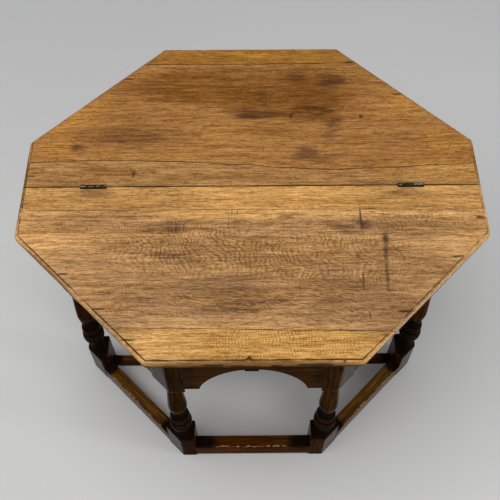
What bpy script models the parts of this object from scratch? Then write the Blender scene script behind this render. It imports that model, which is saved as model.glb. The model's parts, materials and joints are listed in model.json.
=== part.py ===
"""Fold-over tea table in oak: an eight-sided top in two leaves, hinged along the middle.

The front leaf is fixed on a frame of four turned legs. The back leaf is shown open, carried by a
gate that swings out from a post in the middle of the back. All sizes are in metres. X runs along
the hinge line, Y points to the back, and the origin is on the floor under the middle of the top.
"""
import math

import bpy
import bmesh
from mathutils import Matrix, Vector

# Clearances
FIT = 0.0003
JOINT_GAP = 0.0012
GATE_CLEARANCE = 0.0005

# The top, opened out
TABLE_HEIGHT = 0.711
TOP_HALF_LENGTH = 0.457
TOP_HALF_DEPTH = 0.380
TOP_SIDE_HALF = 0.116
CANT_ANGLE = math.radians(45)
TOP_THICKNESS = 0.018
TOP_CORNER_RADIUS = 0.008
EDGE_STEP_INSET = 0.0042
EDGE_STEP_DROP = 0.0012
FIXED_HINGE_BOARD = 0.0555
FIXED_FRONT_BOARD = 0.061
FOLDING_HINGE_BOARD = 0.058
FOLDING_BACK_BOARD = 0.044

# How far the top stands out past the frame
FRONT_OVERHANG = 0.050
CANT_OVERHANG = 0.0477
SIDE_OVERHANG = 0.033

# Legs: two outer faces follow the plan of the top
LEG_FRONT_FACE = 0.034
LEG_CANTED_FACE = 0.052
LEG_DEPTH = 0.060
LEG_AXIS_FROM_FRONT = 0.0265
LEG_AXIS_FROM_CANT = 0.0228
BOTTOM_BLOCK = 0.123
TOP_BLOCK_BOTTOM = 0.443
BLOCK_SHOULDER = 0.005
FOOT_CHAMFER = 0.002
GATE_LEG_BLOCK = 0.046

# Turning on the legs, from the bottom block up
FOOT_COVE = 0.044
LOWER_RING = 0.030
UPPER_RING = 0.025
SMALL_BEAD = 0.015
MIDDLE_COVE = 0.046
COLLAR = 0.008
NECK_COVE = 0.010
NECK_BEAD = 0.014
TOP_COVE = 0.014
SHAFT_END_RADIUS = 0.0172
WAIST_RADIUS = 0.0140
RING_CORE_RADIUS = 0.0186
RING_RADIUS = 0.0224
SMALL_BEAD_RADIUS = 0.0200
MIDDLE_WAIST_RADIUS = 0.0122
COLLAR_RADIUS = 0.0172
BELLY_RADIUS = 0.0215
NECK_RADIUS = 0.0142
NECK_BEAD_RADIUS = 0.0185

# Friezes under the top
FRIEZE_THICKNESS = 0.022
FRIEZE_BOTTOM = 0.461
FRIEZE_FOOT = 0.0355
ARCH_SPRING = 0.010
ARCH_RISE = 0.095
BACK_FRIEZE_HEIGHT = 0.100

# Stretchers just above the floor
STRETCHER_BOTTOM = 0.010
STRETCHER_HEIGHT = 0.056
STRETCHER_THICKNESS = 0.029
STRETCHER_CHAMFER = 0.003
REAR_STRETCHER_BOTTOM = 0.012
REAR_STRETCHER_HEIGHT = 0.032
REAR_THICKNESS = 0.018
RAIL_CHAMFER = 0.002

# Mortise and tenon joints
TENON_LENGTH = 0.020
TENON_THICKNESS = 0.008
TENON_SHOULDER = 0.008
FRIEZE_HAUNCH = 0.024
POST_TENON_LENGTH = 0.013

# Post in the middle of the back, and the gate that swings from it
REAR_SETBACK = 0.0325
POST_WIDTH = 0.038
POST_DEPTH = 0.045
POST_TENON_WIDTH = 0.024
STILE_DEPTH = 0.032
GATE_REACH = 0.300
GATE_LIFT = 0.012
GATE_RAIL_THICKNESS = 0.022
GATE_TOP_RAIL_HEIGHT = 0.050
GATE_BOTTOM_RAIL_LOW = 0.016
GATE_BOTTOM_RAIL_HEIGHT = 0.044

# Glue blocks in the angle between the friezes and the fixed leaf
GLUE_BLOCK_LENGTH = 0.060
GLUE_BLOCK_SIDE = 0.024
FRONT_BLOCK_FROM_LEG = 0.022
BACK_BLOCK_FROM_LEG = 0.140

# Iron butt hinges, two inches long
HINGE_LENGTH = 0.052
HINGE_PLATE_WIDTH = 0.0105
HINGE_PLATE_THICKNESS = 0.0016
KNUCKLE_RADIUS = 0.0040
KNUCKLE_COUNT = 5
PIN_RADIUS = 0.0020
KNUCKLE_CLEARANCE = 0.0005
TOP_HINGE_FROM_END = 0.140
TOP_HINGE_RISE = 0.0004
GATE_HINGE_LOW = 0.110
GATE_HINGE_FROM_TOP = 0.0724

# Facets on round work
TURN_SEGMENTS = 16
BEAD_STEPS = 4
COVE_STEPS = 4
BELLY_STEPS = 7
ARCH_STEPS = 20
NOSE_STEPS = 6
CORNER_STEPS = 2
KNUCKLE_SEGMENTS = 12
SHOULDER_STEPS = 2

# Places worked out from the sizes above
TOP_CANT = TOP_HALF_DEPTH - TOP_SIDE_HALF
ROOT_HALF = math.cos(CANT_ANGLE)
UNDERSIDE = TABLE_HEIGHT - TOP_THICKNESS
FRAME_TOP = UNDERSIDE - FIT
FRAME_FRONT = TOP_HALF_DEPTH - FRONT_OVERHANG
FRAME_SIDE = TOP_HALF_LENGTH - SIDE_OVERHANG
FRAME_CANT = (TOP_HALF_LENGTH + TOP_HALF_DEPTH - TOP_CANT) * ROOT_HALF - CANT_OVERHANG
CANT_SUM = FRAME_CANT / ROOT_HALF
REAR_LINE = CANT_SUM - FRAME_SIDE - LEG_FRONT_FACE + REAR_SETBACK
POST_BACK = POST_DEPTH / 2 - REAR_LINE
POST_TOP = FRAME_TOP - BACK_FRIEZE_HEIGHT - FIT
STILE_FRONT = POST_BACK + JOINT_GAP
STILE_BACK = STILE_FRONT + STILE_DEPTH
GATE_LEG_Y = STILE_FRONT + GATE_REACH
GATE_TOP = UNDERSIDE - GATE_CLEARANCE
GATE_AXIS_X = POST_WIDTH / 2 + KNUCKLE_RADIUS + KNUCKLE_CLEARANCE
GATE_AXIS = Vector((GATE_AXIS_X, POST_BACK + JOINT_GAP / 2, 0.0))
LEAF_AXIS = Vector((0.0, 0.0, TABLE_HEIGHT + TOP_HINGE_RISE))

FINISHES = {
    "top_oak": ((0.42, 0.25, 0.09), 0.45, 0.0),
    "frame_oak": ((0.11, 0.055, 0.02), 0.40, 0.0),
    "stretcher_oak": ((0.24, 0.12, 0.035), 0.50, 0.0),
    "inner_oak": ((0.16, 0.09, 0.04), 0.70, 0.0),
    "iron": ((0.035, 0.030, 0.028), 0.55, 0.9),
}


# Basic solids

def stack(rings):
    """Closed solid through rings of points with equal counts, capped at both ends."""
    mesh = bmesh.new()
    layers = [[mesh.verts.new(point) for point in ring] for ring in rings]
    for lower, upper in zip(layers, layers[1:]):
        for index, corner in enumerate(lower):
            following = (index + 1) % len(lower)
            mesh.faces.new((corner, lower[following], upper[following], upper[index]))
    mesh.faces.new(layers[0])
    mesh.faces.new(layers[-1])
    bmesh.ops.recalc_face_normals(mesh, faces=mesh.faces)
    return mesh


def box(x_range, y_range, z_range):
    corners = [(x_range[0], y_range[0]), (x_range[1], y_range[0]),
               (x_range[1], y_range[1]), (x_range[0], y_range[1])]
    return stack([[(x, y, z) for x, y in corners] for z in z_range])


def upright(outline, levels):
    """Prism over a plan; each level is a height and how far the plan is drawn in there."""
    return stack([[(p.x, p.y, z) for p in drawn_in(outline, inset)] for z, inset in levels])


def rod(radius, x_range, segments):
    """Round bar along X."""
    turns = [2 * math.pi * index / segments for index in range(segments)]
    return stack([[(x, radius * math.cos(a), radius * math.sin(a)) for a in turns] for x in x_range])


def turned(profile, centre):
    """Lathe work: radius and height pairs about an upright axis."""
    turns = [2 * math.pi * index / TURN_SEGMENTS for index in range(TURN_SEGMENTS)]
    return stack([[(centre.x + r * math.cos(a), centre.y + r * math.sin(a), z) for a in turns]
                  for r, z in profile])


def drawn_in(outline, distance):
    """Move every side of a counter-clockwise outline inwards by the distance."""
    sides = []
    for index, corner in enumerate(outline):
        along = (outline[(index + 1) % len(outline)] - corner).normalized()
        sides.append((corner + Vector((-along.y, along.x)) * distance, along))
    corners = []
    for index, (start, along) in enumerate(sides):
        before, before_along = sides[index - 1]
        reach = (start - before).cross(along) / before_along.cross(along)
        corners.append(before + before_along * reach)
    return corners


def rounded(outline, radius):
    """Replace every corner of an outline by an arc."""
    points = []
    for index, corner in enumerate(outline):
        back = (outline[index - 1] - corner).normalized()
        ahead = (outline[(index + 1) % len(outline)] - corner).normalized()
        half_angle = back.angle(ahead) / 2
        centre = corner + (back + ahead).normalized() * (radius / math.sin(half_angle))
        start = corner + back * (radius / math.tan(half_angle)) - centre
        for step in range(CORNER_STEPS + 1):
            turn = (math.pi - 2 * half_angle) * step / CORNER_STEPS
            points.append(centre + Matrix.Rotation(turn, 2) @ start)
    return points


# Objects, finishes and cutting

def place(name, mesh, matrix=None):
    data = bpy.data.meshes.new(name)
    mesh.to_mesh(data)
    mesh.free()
    piece = bpy.data.objects.new(name, data)
    bpy.context.scene.collection.objects.link(piece)
    if matrix is not None:
        piece.matrix_world = matrix
    return piece


def combine(piece, tool, operation):
    """Join or cut a piece with another solid, which is used up."""
    modifier = piece.modifiers.new(operation, "BOOLEAN")
    modifier.operation = operation
    modifier.solver = "EXACT"
    modifier.object = tool
    bpy.context.view_layer.update()
    graph = bpy.context.evaluated_depsgraph_get()
    result = bpy.data.meshes.new_from_object(piece.evaluated_get(graph))
    piece.modifiers.remove(modifier)
    piece.data = result
    bpy.data.objects.remove(tool)


def join(piece, mesh, matrix=None):
    combine(piece, place("addition", mesh, matrix), "UNION")


def cut(piece, mesh, matrix=None):
    combine(piece, place("cutter", mesh, matrix), "DIFFERENCE")


def make_finish(name):
    colour, roughness, metallic = FINISHES[name]
    material = bpy.data.materials.new(name)
    material.use_nodes = True
    shader = material.node_tree.nodes["Principled BSDF"]
    shader.inputs["Base Color"].default_value = (*colour, 1.0)
    shader.inputs["Roughness"].default_value = roughness
    shader.inputs["Metallic"].default_value = metallic
    material.diffuse_color = (*colour, 1.0)
    return material


def dress(piece, material, sharp_angle=math.radians(35)):
    piece.data.materials.clear()
    piece.data.materials.append(material)
    piece.data.shade_smooth()
    piece.data.set_sharp_from_angle(angle=sharp_angle)


def hang(pieces, pivot):
    """Parent pieces to a pivot without moving them."""
    bpy.context.view_layer.update()
    for piece in pieces:
        piece.parent = pivot
        piece.matrix_parent_inverse = pivot.matrix_world.inverted()


def make_pivot(name, location):
    pivot = bpy.data.objects.new(name, None)
    pivot.location = location
    bpy.context.scene.collection.objects.link(pivot)
    return pivot


# The top

def top_outline():
    length_flat = TOP_HALF_LENGTH - TOP_CANT
    depth_flat = TOP_HALF_DEPTH - TOP_CANT
    corners = [(length_flat, -TOP_HALF_DEPTH), (TOP_HALF_LENGTH, -depth_flat),
               (TOP_HALF_LENGTH, depth_flat), (length_flat, TOP_HALF_DEPTH)]
    mirrored = [(-x, y) for x, y in reversed(corners)]
    return [Vector(corner) for corner in corners + mirrored]


def moulded_slab():
    """The whole top in one thickness, with a small step and a rounded nose along its edge."""
    profile = [(TABLE_HEIGHT, EDGE_STEP_INSET)]
    nose_top = TABLE_HEIGHT - EDGE_STEP_DROP
    for step in range(NOSE_STEPS + 1):
        angle = math.pi * step / NOSE_STEPS
        height = UNDERSIDE + (nose_top - UNDERSIDE) * (1 + math.cos(angle)) / 2
        profile.append((height, EDGE_STEP_INSET * (1 - math.sin(angle))))
    outline = top_outline()
    rings = []
    for height, inset in reversed(profile):
        ring = rounded(drawn_in(outline, inset), TOP_CORNER_RADIUS - inset)
        rings.append([(p.x, p.y, height) for p in ring])
    return stack(rings)


def board(name, y_low, y_high):
    piece = place(name, moulded_slab())
    reach = 2 * TOP_HALF_LENGTH
    keep = place("keep", box((-reach, reach), (y_low, y_high), (0.0, 2 * TABLE_HEIGHT)))
    combine(piece, keep, "INTERSECT")
    return piece


def make_leaf(names, joints):
    """Boards side by side between the joint lines, with a hairline gap at each joint."""
    boards = []
    for name, low, high in zip(names, joints, joints[1:]):
        boards.append(board(name, low + FIT / 2, high - FIT / 2))
    return boards


# Turned legs

def bead(low, height, core, swell):
    points = []
    for step in range(BEAD_STEPS + 1):
        angle = math.pi * step / BEAD_STEPS
        radius = core + (swell - core) * math.sin(angle)
        points.append((radius, low + height * (1 - math.cos(angle)) / 2))
    return points


def cove(low, height, start, waist, end):
    points = []
    for step in range(COVE_STEPS + 1):
        share = step / COVE_STEPS
        chord = start + (end - start) * share
        middle = (start + end) / 2
        points.append((chord - (middle - waist) * math.sin(math.pi * share), low + height * share))
    return points


def belly(low, height, start, swell, end):
    """A long barrel, fullest a third of the way up and drawn in to a neck at the top."""
    points = []
    for step in range(BELLY_STEPS + 1):
        share = step / BELLY_STEPS
        fullness = math.sin(math.pi * math.sqrt(share))
        chord = start + (end - start) * share
        points.append((chord + (swell - (start + end) / 2) * fullness, low + height * share))
    return points


def fillet(low, height, radius):
    return [(radius, low), (radius, low + height)]


def leg_profile(low, high):
    """Radius and height pairs of the turning; the barrel takes the length that the rest leaves."""
    lower = [
        (cove, FOOT_COVE, (SHAFT_END_RADIUS, WAIST_RADIUS, RING_CORE_RADIUS)),
        (bead, LOWER_RING, (RING_CORE_RADIUS, RING_RADIUS)),
        (bead, UPPER_RING, (RING_CORE_RADIUS, RING_RADIUS)),
        (bead, SMALL_BEAD, (SHAFT_END_RADIUS, SMALL_BEAD_RADIUS)),
        (cove, MIDDLE_COVE, (SHAFT_END_RADIUS, MIDDLE_WAIST_RADIUS, COLLAR_RADIUS)),
        (fillet, COLLAR, (COLLAR_RADIUS,)),
    ]
    upper = [
        (fillet, NECK_COVE, (NECK_RADIUS,)),
        (bead, NECK_BEAD, (NECK_RADIUS, NECK_BEAD_RADIUS)),
        (fillet, TOP_COVE, (SHAFT_END_RADIUS,)),
    ]
    used = sum(height for shape, height, radii in lower + upper)
    barrel = (belly, high - low - used, (NECK_RADIUS, BELLY_RADIUS, NECK_RADIUS))
    points = []
    level = low
    for shape, height, radii in lower + [barrel] + upper:
        for point in shape(level, height, *radii):
            if not points or (Vector(point) - Vector(points[-1])).length > FIT:
                points.append(point)
        level += height
    return points


def shoulder(level, direction):
    """Heights and insets of a block's rounded end, its upper end for 1 and its lower end for -1."""
    points = []
    for step in range(SHOULDER_STEPS + 1):
        angle = math.pi / 2 * step / SHOULDER_STEPS
        height = level - direction * BLOCK_SHOULDER * (1 - math.sin(angle))
        points.append((height, BLOCK_SHOULDER * (1 - math.cos(angle))))
    return points[::direction]


def make_leg(name, plan, axis, top):
    foot = [(0.0, FOOT_CHAMFER), (FOOT_CHAMFER, 0.0)]
    leg = place(name, upright(plan, foot + shoulder(BOTTOM_BLOCK, 1)))
    sunk = [(SHAFT_END_RADIUS, BOTTOM_BLOCK - BLOCK_SHOULDER)]
    raised = [(SHAFT_END_RADIUS, TOP_BLOCK_BOTTOM + BLOCK_SHOULDER)]
    join(leg, turned(sunk + leg_profile(BOTTOM_BLOCK, TOP_BLOCK_BOTTOM) + raised, axis))
    join(leg, upright(plan, shoulder(TOP_BLOCK_BOTTOM, -1) + [(top, 0.0)]))
    return leg


def front_leg_plan():
    """Plan of the right front leg, and the axis that it is turned about."""
    arris = Vector((CANT_SUM - FRAME_FRONT, -FRAME_FRONT))
    inner = Vector((arris.x - LEG_FRONT_FACE, arris.y))
    canted_end = arris + Vector((ROOT_HALF, ROOT_HALF)) * LEG_CANTED_FACE
    back = LEG_DEPTH - FRAME_FRONT
    back_step = back - canted_end.y
    back_arris = canted_end + Vector((-back_step, back_step))
    plan = [inner, arris, canted_end, back_arris, Vector((inner.x, back))]
    axis_y = LEG_AXIS_FROM_FRONT - FRAME_FRONT
    axis = Vector(((FRAME_CANT - LEG_AXIS_FROM_CANT) / ROOT_HALF + axis_y, axis_y))
    return plan, axis


def across_cant(point):
    """Mirror a point of the right front leg on to the right rear leg."""
    shift = (CANT_SUM - FRAME_FRONT) - FRAME_FRONT + FRAME_SIDE - (CANT_SUM - FRAME_SIDE)
    return Vector((shift / 2 - point.y, shift / 2 - point.x))


def to_left(point):
    return Vector((-point.x, point.y))


# Rails between the legs, with tenons

class Rail:
    """A rail from one plan point to another. Local X runs along it, Y inwards, Z up."""

    def __init__(self, name, start, end, thickness, tenon_levels, tenons=(TENON_LENGTH, TENON_LENGTH)):
        along = (end - start).normalized()
        middle = (start + end) / 2
        inward = Vector((-along.y, along.x))
        self.name = name
        self.half = (end - start).length / 2 - FIT
        self.thickness = thickness
        self.tenon_levels = tenon_levels
        self.tenons = tenons
        self.matrix = Matrix(((along.x, inward.x, 0, middle.x), (along.y, inward.y, 0, middle.y),
                              (0, 0, 1, 0), (0, 0, 0, 1)))
        self.piece = None

    def bar(self, low, high, chamfer):
        """Plain bar whose two upper edges are eased."""
        depth = self.thickness
        section = [(0, low), (depth, low), (depth, high - chamfer), (depth - chamfer, high),
                   (chamfer, high), (0, high - chamfer)]
        ends = (-self.half, self.half)
        self.finish(stack([[(x, y, z) for y, z in section] for x in ends]))

    def arched(self, low, high):
        """Board whose lower edge rises in an arch between two short feet."""
        half_arch = self.half - FRIEZE_FOOT
        outline = [(-self.half, high), (-self.half, low), (-half_arch, low)]
        for step in range(ARCH_STEPS + 1):
            angle = math.pi * (1 - step / ARCH_STEPS)
            rise = low + ARCH_SPRING + ARCH_RISE * math.sin(angle)
            outline.append((half_arch * math.cos(angle), rise))
        outline += [(half_arch, low), (self.half, low), (self.half, high)]
        self.finish(stack([[(x, y, z) for x, z in outline] for y in (0, self.thickness)]))

    def finish(self, body):
        self.piece = place(self.name, body, self.matrix)
        for side, length in zip((-1, 1), self.tenons):
            join(self.piece, self.tenon(side, length, 0), self.matrix)

    def tenon(self, side, length, ease):
        """The tenon at one end, or with some ease the mortise that takes it."""
        root = self.half - TENON_SHOULDER / 2
        tip = self.half + length + ease
        middle = self.thickness / 2
        reach = TENON_THICKNESS / 2 + ease
        low, high = self.tenon_levels
        return box(sorted((side * root, side * tip)), (middle - reach, middle + reach),
                   (low - ease, high + ease))

    def mortise(self, host, side):
        length = self.tenons[0] if side < 0 else self.tenons[1]
        cut(host, self.tenon(side, length, FIT), self.matrix)


# Butt hinges

class Butt:
    """A butt hinge. Local X lies on the pin, Y points to the moving side, Z out to the knuckle."""

    def __init__(self, name, matrix):
        self.name = name
        self.matrix = matrix
        self.face = JOINT_GAP / 2
        self.back = self.face + HINGE_PLATE_THICKNESS
        self.top = -(KNUCKLE_RADIUS + KNUCKLE_CLEARANCE)
        self.fixed = self.plate("fixed", -1, range(0, KNUCKLE_COUNT, 2))
        self.moving = self.plate("moving", 1, range(1, KNUCKLE_COUNT, 2))
        ends = (-HINGE_LENGTH / 2, HINGE_LENGTH / 2)
        self.pin = place(name + "_pin", rod(PIN_RADIUS, ends, KNUCKLE_SEGMENTS), matrix)

    def plate(self, which, side, knuckles):
        across = sorted((side * self.face, side * self.back))
        span = (-HINGE_LENGTH / 2, HINGE_LENGTH / 2)
        plate = place(f"{self.name}_{which}_plate",
                      box(span, across, (self.top - HINGE_PLATE_WIDTH, self.top)), self.matrix)
        pitch = HINGE_LENGTH / KNUCKLE_COUNT
        for index in knuckles:
            start = index * pitch - HINGE_LENGTH / 2
            stretch = (start + FIT / 2, start + pitch - FIT / 2)
            join(plate, box(stretch, across, (self.top - HINGE_PLATE_THICKNESS, 0)), self.matrix)
            join(plate, rod(KNUCKLE_RADIUS, stretch, KNUCKLE_SEGMENTS), self.matrix)
        bore = (-HINGE_LENGTH, HINGE_LENGTH)
        cut(plate, rod(PIN_RADIUS + FIT, bore, KNUCKLE_SEGMENTS), self.matrix)
        return plate

    def let_in(self, host, side):
        """Cut the recess for one plate, and room for the knuckle, into a piece of wood."""
        span = (-HINGE_LENGTH / 2 - FIT, HINGE_LENGTH / 2 + FIT)
        depth = sorted((-side * FIT, side * (self.back + FIT)))
        bottom = self.top - HINGE_PLATE_WIDTH - FIT
        cut(host, box(span, depth, (bottom, KNUCKLE_RADIUS)), self.matrix)
        room = KNUCKLE_RADIUS + KNUCKLE_CLEARANCE
        slot = sorted((-side * FIT, side * room))
        cut(host, box(span, slot, (-room, room)), self.matrix)


def butt_matrix(along, across, out, origin):
    columns = [Vector(along), Vector(across), Vector(out)]
    matrix = Matrix.Translation(origin)
    for index, column in enumerate(columns):
        for row in range(3):
            matrix[row][index] = column[row]
    return matrix


# Assembly

def make_top():
    half_gap = JOINT_GAP / 2
    fixed_joints = [-TOP_HALF_DEPTH - FIT, FIXED_FRONT_BOARD - TOP_HALF_DEPTH, -FIXED_HINGE_BOARD,
                    FIT / 2 - half_gap]
    fixed = make_leaf(["fixed_leaf_front_board", "fixed_leaf_middle_board", "fixed_leaf_hinge_board"],
                      fixed_joints)
    folding_joints = [half_gap - FIT / 2, FOLDING_HINGE_BOARD, TOP_HALF_DEPTH - FOLDING_BACK_BOARD,
                      TOP_HALF_DEPTH + FIT]
    folding = make_leaf(["folding_leaf_hinge_board", "folding_leaf_middle_board",
                         "folding_leaf_back_board"], folding_joints)
    return fixed, folding


def make_top_hinges(fixed_board, folding_board):
    hinges = []
    spread = TOP_HALF_LENGTH - TOP_HINGE_FROM_END
    for side, x in (("left", -spread), ("right", spread)):
        origin = LEAF_AXIS + Vector((x, 0, 0))
        hinge = Butt(f"top_hinge_{side}", butt_matrix((1, 0, 0), (0, 1, 0), (0, 0, 1), origin))
        hinge.let_in(fixed_board, -1)
        hinge.let_in(folding_board, 1)
        hinges.append(hinge)
    return hinges


def make_legs():
    plan, axis = front_leg_plan()
    rear_plan = [across_cant(point) for point in reversed(plan)]
    rear_axis = across_cant(axis)
    legs = {}
    for end, outline, centre in (("front", plan, axis), ("rear", rear_plan, rear_axis)):
        legs[f"{end}_right_leg"] = make_leg(f"{end}_right_leg", outline, centre, FRAME_TOP)
        mirrored = [to_left(point) for point in reversed(outline)]
        legs[f"{end}_left_leg"] = make_leg(f"{end}_left_leg", mirrored, to_left(centre), FRAME_TOP)
    return legs


def frame_lines():
    """Where the rails run: from leg to leg, counter-clockwise, along the legs' outer faces."""
    plan, axis = front_leg_plan()
    inner, canted_end, back_corner = plan[0], plan[2], plan[4]
    rear_inner = across_cant(back_corner).x
    rear_y = REAR_THICKNESS / 2 - REAR_LINE
    return {
        "front": (to_left(inner), inner),
        "right": (canted_end, across_cant(canted_end)),
        "back": (Vector((rear_inner, rear_y)), Vector((-rear_inner, rear_y))),
        "left": (to_left(across_cant(canted_end)), to_left(canted_end)),
    }


LEGS_AT = {
    "front": ("front_left_leg", "front_right_leg"),
    "right": ("front_right_leg", "rear_right_leg"),
    "back": ("rear_right_leg", "rear_left_leg"),
    "left": ("rear_left_leg", "front_left_leg"),
}


def make_friezes(legs, lines):
    friezes = {}
    for side in ("front", "right", "left"):
        levels = (FRIEZE_BOTTOM + TENON_SHOULDER, FRAME_TOP - FRIEZE_HAUNCH)
        rail = Rail(f"{side}_frieze", *lines[side], FRIEZE_THICKNESS, levels)
        rail.arched(FRIEZE_BOTTOM, FRAME_TOP)
        friezes[side] = rail
    low = FRAME_TOP - BACK_FRIEZE_HEIGHT
    back = Rail("back_frieze", *lines["back"], REAR_THICKNESS,
                (low + TENON_SHOULDER, FRAME_TOP - FRIEZE_HAUNCH))
    back.bar(low, FRAME_TOP, RAIL_CHAMFER)
    friezes["back"] = back
    seat_rails(friezes, legs)
    return friezes


def seat_rails(rails, legs):
    for side, rail in rails.items():
        for end, leg in zip((-1, 1), LEGS_AT[side]):
            rail.mortise(legs[leg], end)


def make_stretchers(legs, lines):
    rails = {}
    high = STRETCHER_BOTTOM + STRETCHER_HEIGHT
    for side in ("front", "right", "left"):
        levels = (STRETCHER_BOTTOM + TENON_SHOULDER, high - TENON_SHOULDER)
        rail = Rail(f"{side}_stretcher", *lines[side], STRETCHER_THICKNESS, levels)
        rail.bar(STRETCHER_BOTTOM, high, STRETCHER_CHAMFER)
        rails[side] = rail
    seat_rails(rails, legs)
    return rails


def make_rear_stretchers(legs, post, lines):
    right_end, left_end = lines["back"]
    right_post = Vector((POST_WIDTH / 2, right_end.y))
    low = REAR_STRETCHER_BOTTOM
    high = low + REAR_STRETCHER_HEIGHT
    levels = (low + TENON_SHOULDER, high - TENON_SHOULDER)
    right = Rail("rear_stretcher_right", right_end, right_post, REAR_THICKNESS, levels,
                 (TENON_LENGTH, POST_TENON_LENGTH))
    left = Rail("rear_stretcher_left", to_left(right_post), left_end, REAR_THICKNESS, levels,
                (POST_TENON_LENGTH, TENON_LENGTH))
    for rail, leg, leg_end in ((right, "rear_right_leg", -1), (left, "rear_left_leg", 1)):
        rail.bar(low, high, RAIL_CHAMFER)
        rail.mortise(legs[leg], leg_end)
        rail.mortise(post, -leg_end)
    return [right, left]


def make_post(back_frieze):
    half = POST_WIDTH / 2
    depth = POST_DEPTH / 2
    corners = ((-half, -depth), (half, -depth), (half, depth), (-half, depth))
    plan = [Vector((x, y - REAR_LINE)) for x, y in corners]
    levels = [(0.0, FOOT_CHAMFER), (FOOT_CHAMFER, 0.0), (POST_TOP, 0.0)]
    post = place("back_post", upright(plan, levels))

    def tenon(ease):
        width = POST_TENON_WIDTH / 2 + ease
        reach = TENON_THICKNESS / 2 + ease
        return box((-width, width), (-REAR_LINE - reach, -REAR_LINE + reach),
                   (POST_TOP - TENON_SHOULDER, POST_TOP + TENON_LENGTH + ease))

    join(post, tenon(0))
    cut(back_frieze, tenon(FIT))
    return post


def make_glue_blocks(friezes):
    """Three-cornered blocks rubbed into the angle behind each frieze."""
    from_leg = {"front": FRONT_BLOCK_FROM_LEG, "back": BACK_BLOCK_FROM_LEG}
    blocks = []
    for side, rail in friezes.items():
        centres = (0.0,)
        if side in from_leg:
            spread = rail.half - from_leg[side] - GLUE_BLOCK_LENGTH / 2
            centres = (-spread, spread)
        face = rail.thickness + FIT
        section = [(face, FRAME_TOP), (face, FRAME_TOP - GLUE_BLOCK_SIDE),
                   (face + GLUE_BLOCK_SIDE, FRAME_TOP)]
        for index, centre in enumerate(centres):
            ends = (centre - GLUE_BLOCK_LENGTH / 2, centre + GLUE_BLOCK_LENGTH / 2)
            mesh = stack([[(x, y, z) for y, z in section] for x in ends])
            blocks.append(place(f"{side}_glue_block_{index + 1}", mesh, rail.matrix))
    return blocks


def make_gate():
    half = POST_WIDTH / 2
    stile = place("gate_stile", box((-half, half), (STILE_FRONT, STILE_BACK), (GATE_LIFT, GATE_TOP)))
    reach = GATE_LEG_BLOCK / 2
    corners = ((-reach, -reach), (reach, -reach), (reach, reach), (-reach, reach))
    plan = [Vector((x, GATE_LEG_Y + y)) for x, y in corners]
    leg = make_leg("gate_leg", plan, Vector((0.0, GATE_LEG_Y)), GATE_TOP)
    start = Vector((GATE_RAIL_THICKNESS / 2, STILE_BACK))
    end = Vector((GATE_RAIL_THICKNESS / 2, GATE_LEG_Y - reach))
    bottom_high = GATE_BOTTOM_RAIL_LOW + GATE_BOTTOM_RAIL_HEIGHT
    spans = (("gate_top_rail", GATE_TOP - GATE_TOP_RAIL_HEIGHT, GATE_TOP),
             ("gate_bottom_rail", GATE_BOTTOM_RAIL_LOW, bottom_high))
    rails = []
    for name, low, high in spans:
        levels = (low + TENON_SHOULDER, high - TENON_SHOULDER)
        rail = Rail(name, start, end, GATE_RAIL_THICKNESS, levels)
        rail.bar(low, high, RAIL_CHAMFER)
        rail.mortise(stile, -1)
        rail.mortise(leg, 1)
        rails.append(rail.piece)
    return stile, leg, rails


def make_gate_hinges(post, stile):
    hinges = []
    for level, z in (("lower", GATE_HINGE_LOW), ("upper", POST_TOP - GATE_HINGE_FROM_TOP)):
        origin = GATE_AXIS + Vector((0, 0, z))
        hinge = Butt(f"gate_hinge_{level}", butt_matrix((0, 0, -1), (0, 1, 0), (1, 0, 0), origin))
        hinge.let_in(post, -1)
        hinge.let_in(stile, 1)
        hinges.append(hinge)
    return hinges


def main():
    for existing in list(bpy.data.objects):
        bpy.data.objects.remove(existing)
    finishes = {name: make_finish(name) for name in FINISHES}

    fixed_boards, folding_boards = make_top()
    top_hinges = make_top_hinges(fixed_boards[-1], folding_boards[0])
    legs = make_legs()
    lines = frame_lines()
    friezes = make_friezes(legs, lines)
    stretchers = make_stretchers(legs, lines)
    post = make_post(friezes["back"].piece)
    rear_stretchers = make_rear_stretchers(legs, post, lines)
    blocks = make_glue_blocks(friezes)
    stile, gate_leg, gate_rails = make_gate()
    gate_hinges = make_gate_hinges(post, stile)

    leaf_pieces = folding_boards + [hinge.moving for hinge in top_hinges]
    gate_pieces = [stile, gate_leg] + gate_rails + [hinge.moving for hinge in gate_hinges]
    hang(leaf_pieces, make_pivot("leaf_pivot", LEAF_AXIS))
    hang(gate_pieces, make_pivot("gate_pivot", GATE_AXIS))

    iron = []
    for hinge in top_hinges + gate_hinges:
        iron += [hinge.fixed, hinge.moving, hinge.pin]
    frame = list(legs.values()) + [gate_leg] + [rail.piece for rail in friezes.values()]
    inner = blocks + [post, stile] + gate_rails
    groups = {
        "top_oak": fixed_boards + folding_boards,
        "frame_oak": frame,
        "stretcher_oak": [rail.piece for rail in list(stretchers.values()) + rear_stretchers],
        "inner_oak": inner,
        "iron": iron,
    }
    for finish, pieces in groups.items():
        for piece in pieces:
            dress(piece, finishes[finish])


main()
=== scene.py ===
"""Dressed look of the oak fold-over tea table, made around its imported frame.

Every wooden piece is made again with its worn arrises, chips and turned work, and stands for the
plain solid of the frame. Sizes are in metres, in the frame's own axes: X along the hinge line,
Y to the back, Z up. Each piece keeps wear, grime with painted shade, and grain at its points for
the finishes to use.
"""
import json
import math

import bmesh
import bpy
from mathutils import Matrix, Vector, noise

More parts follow.
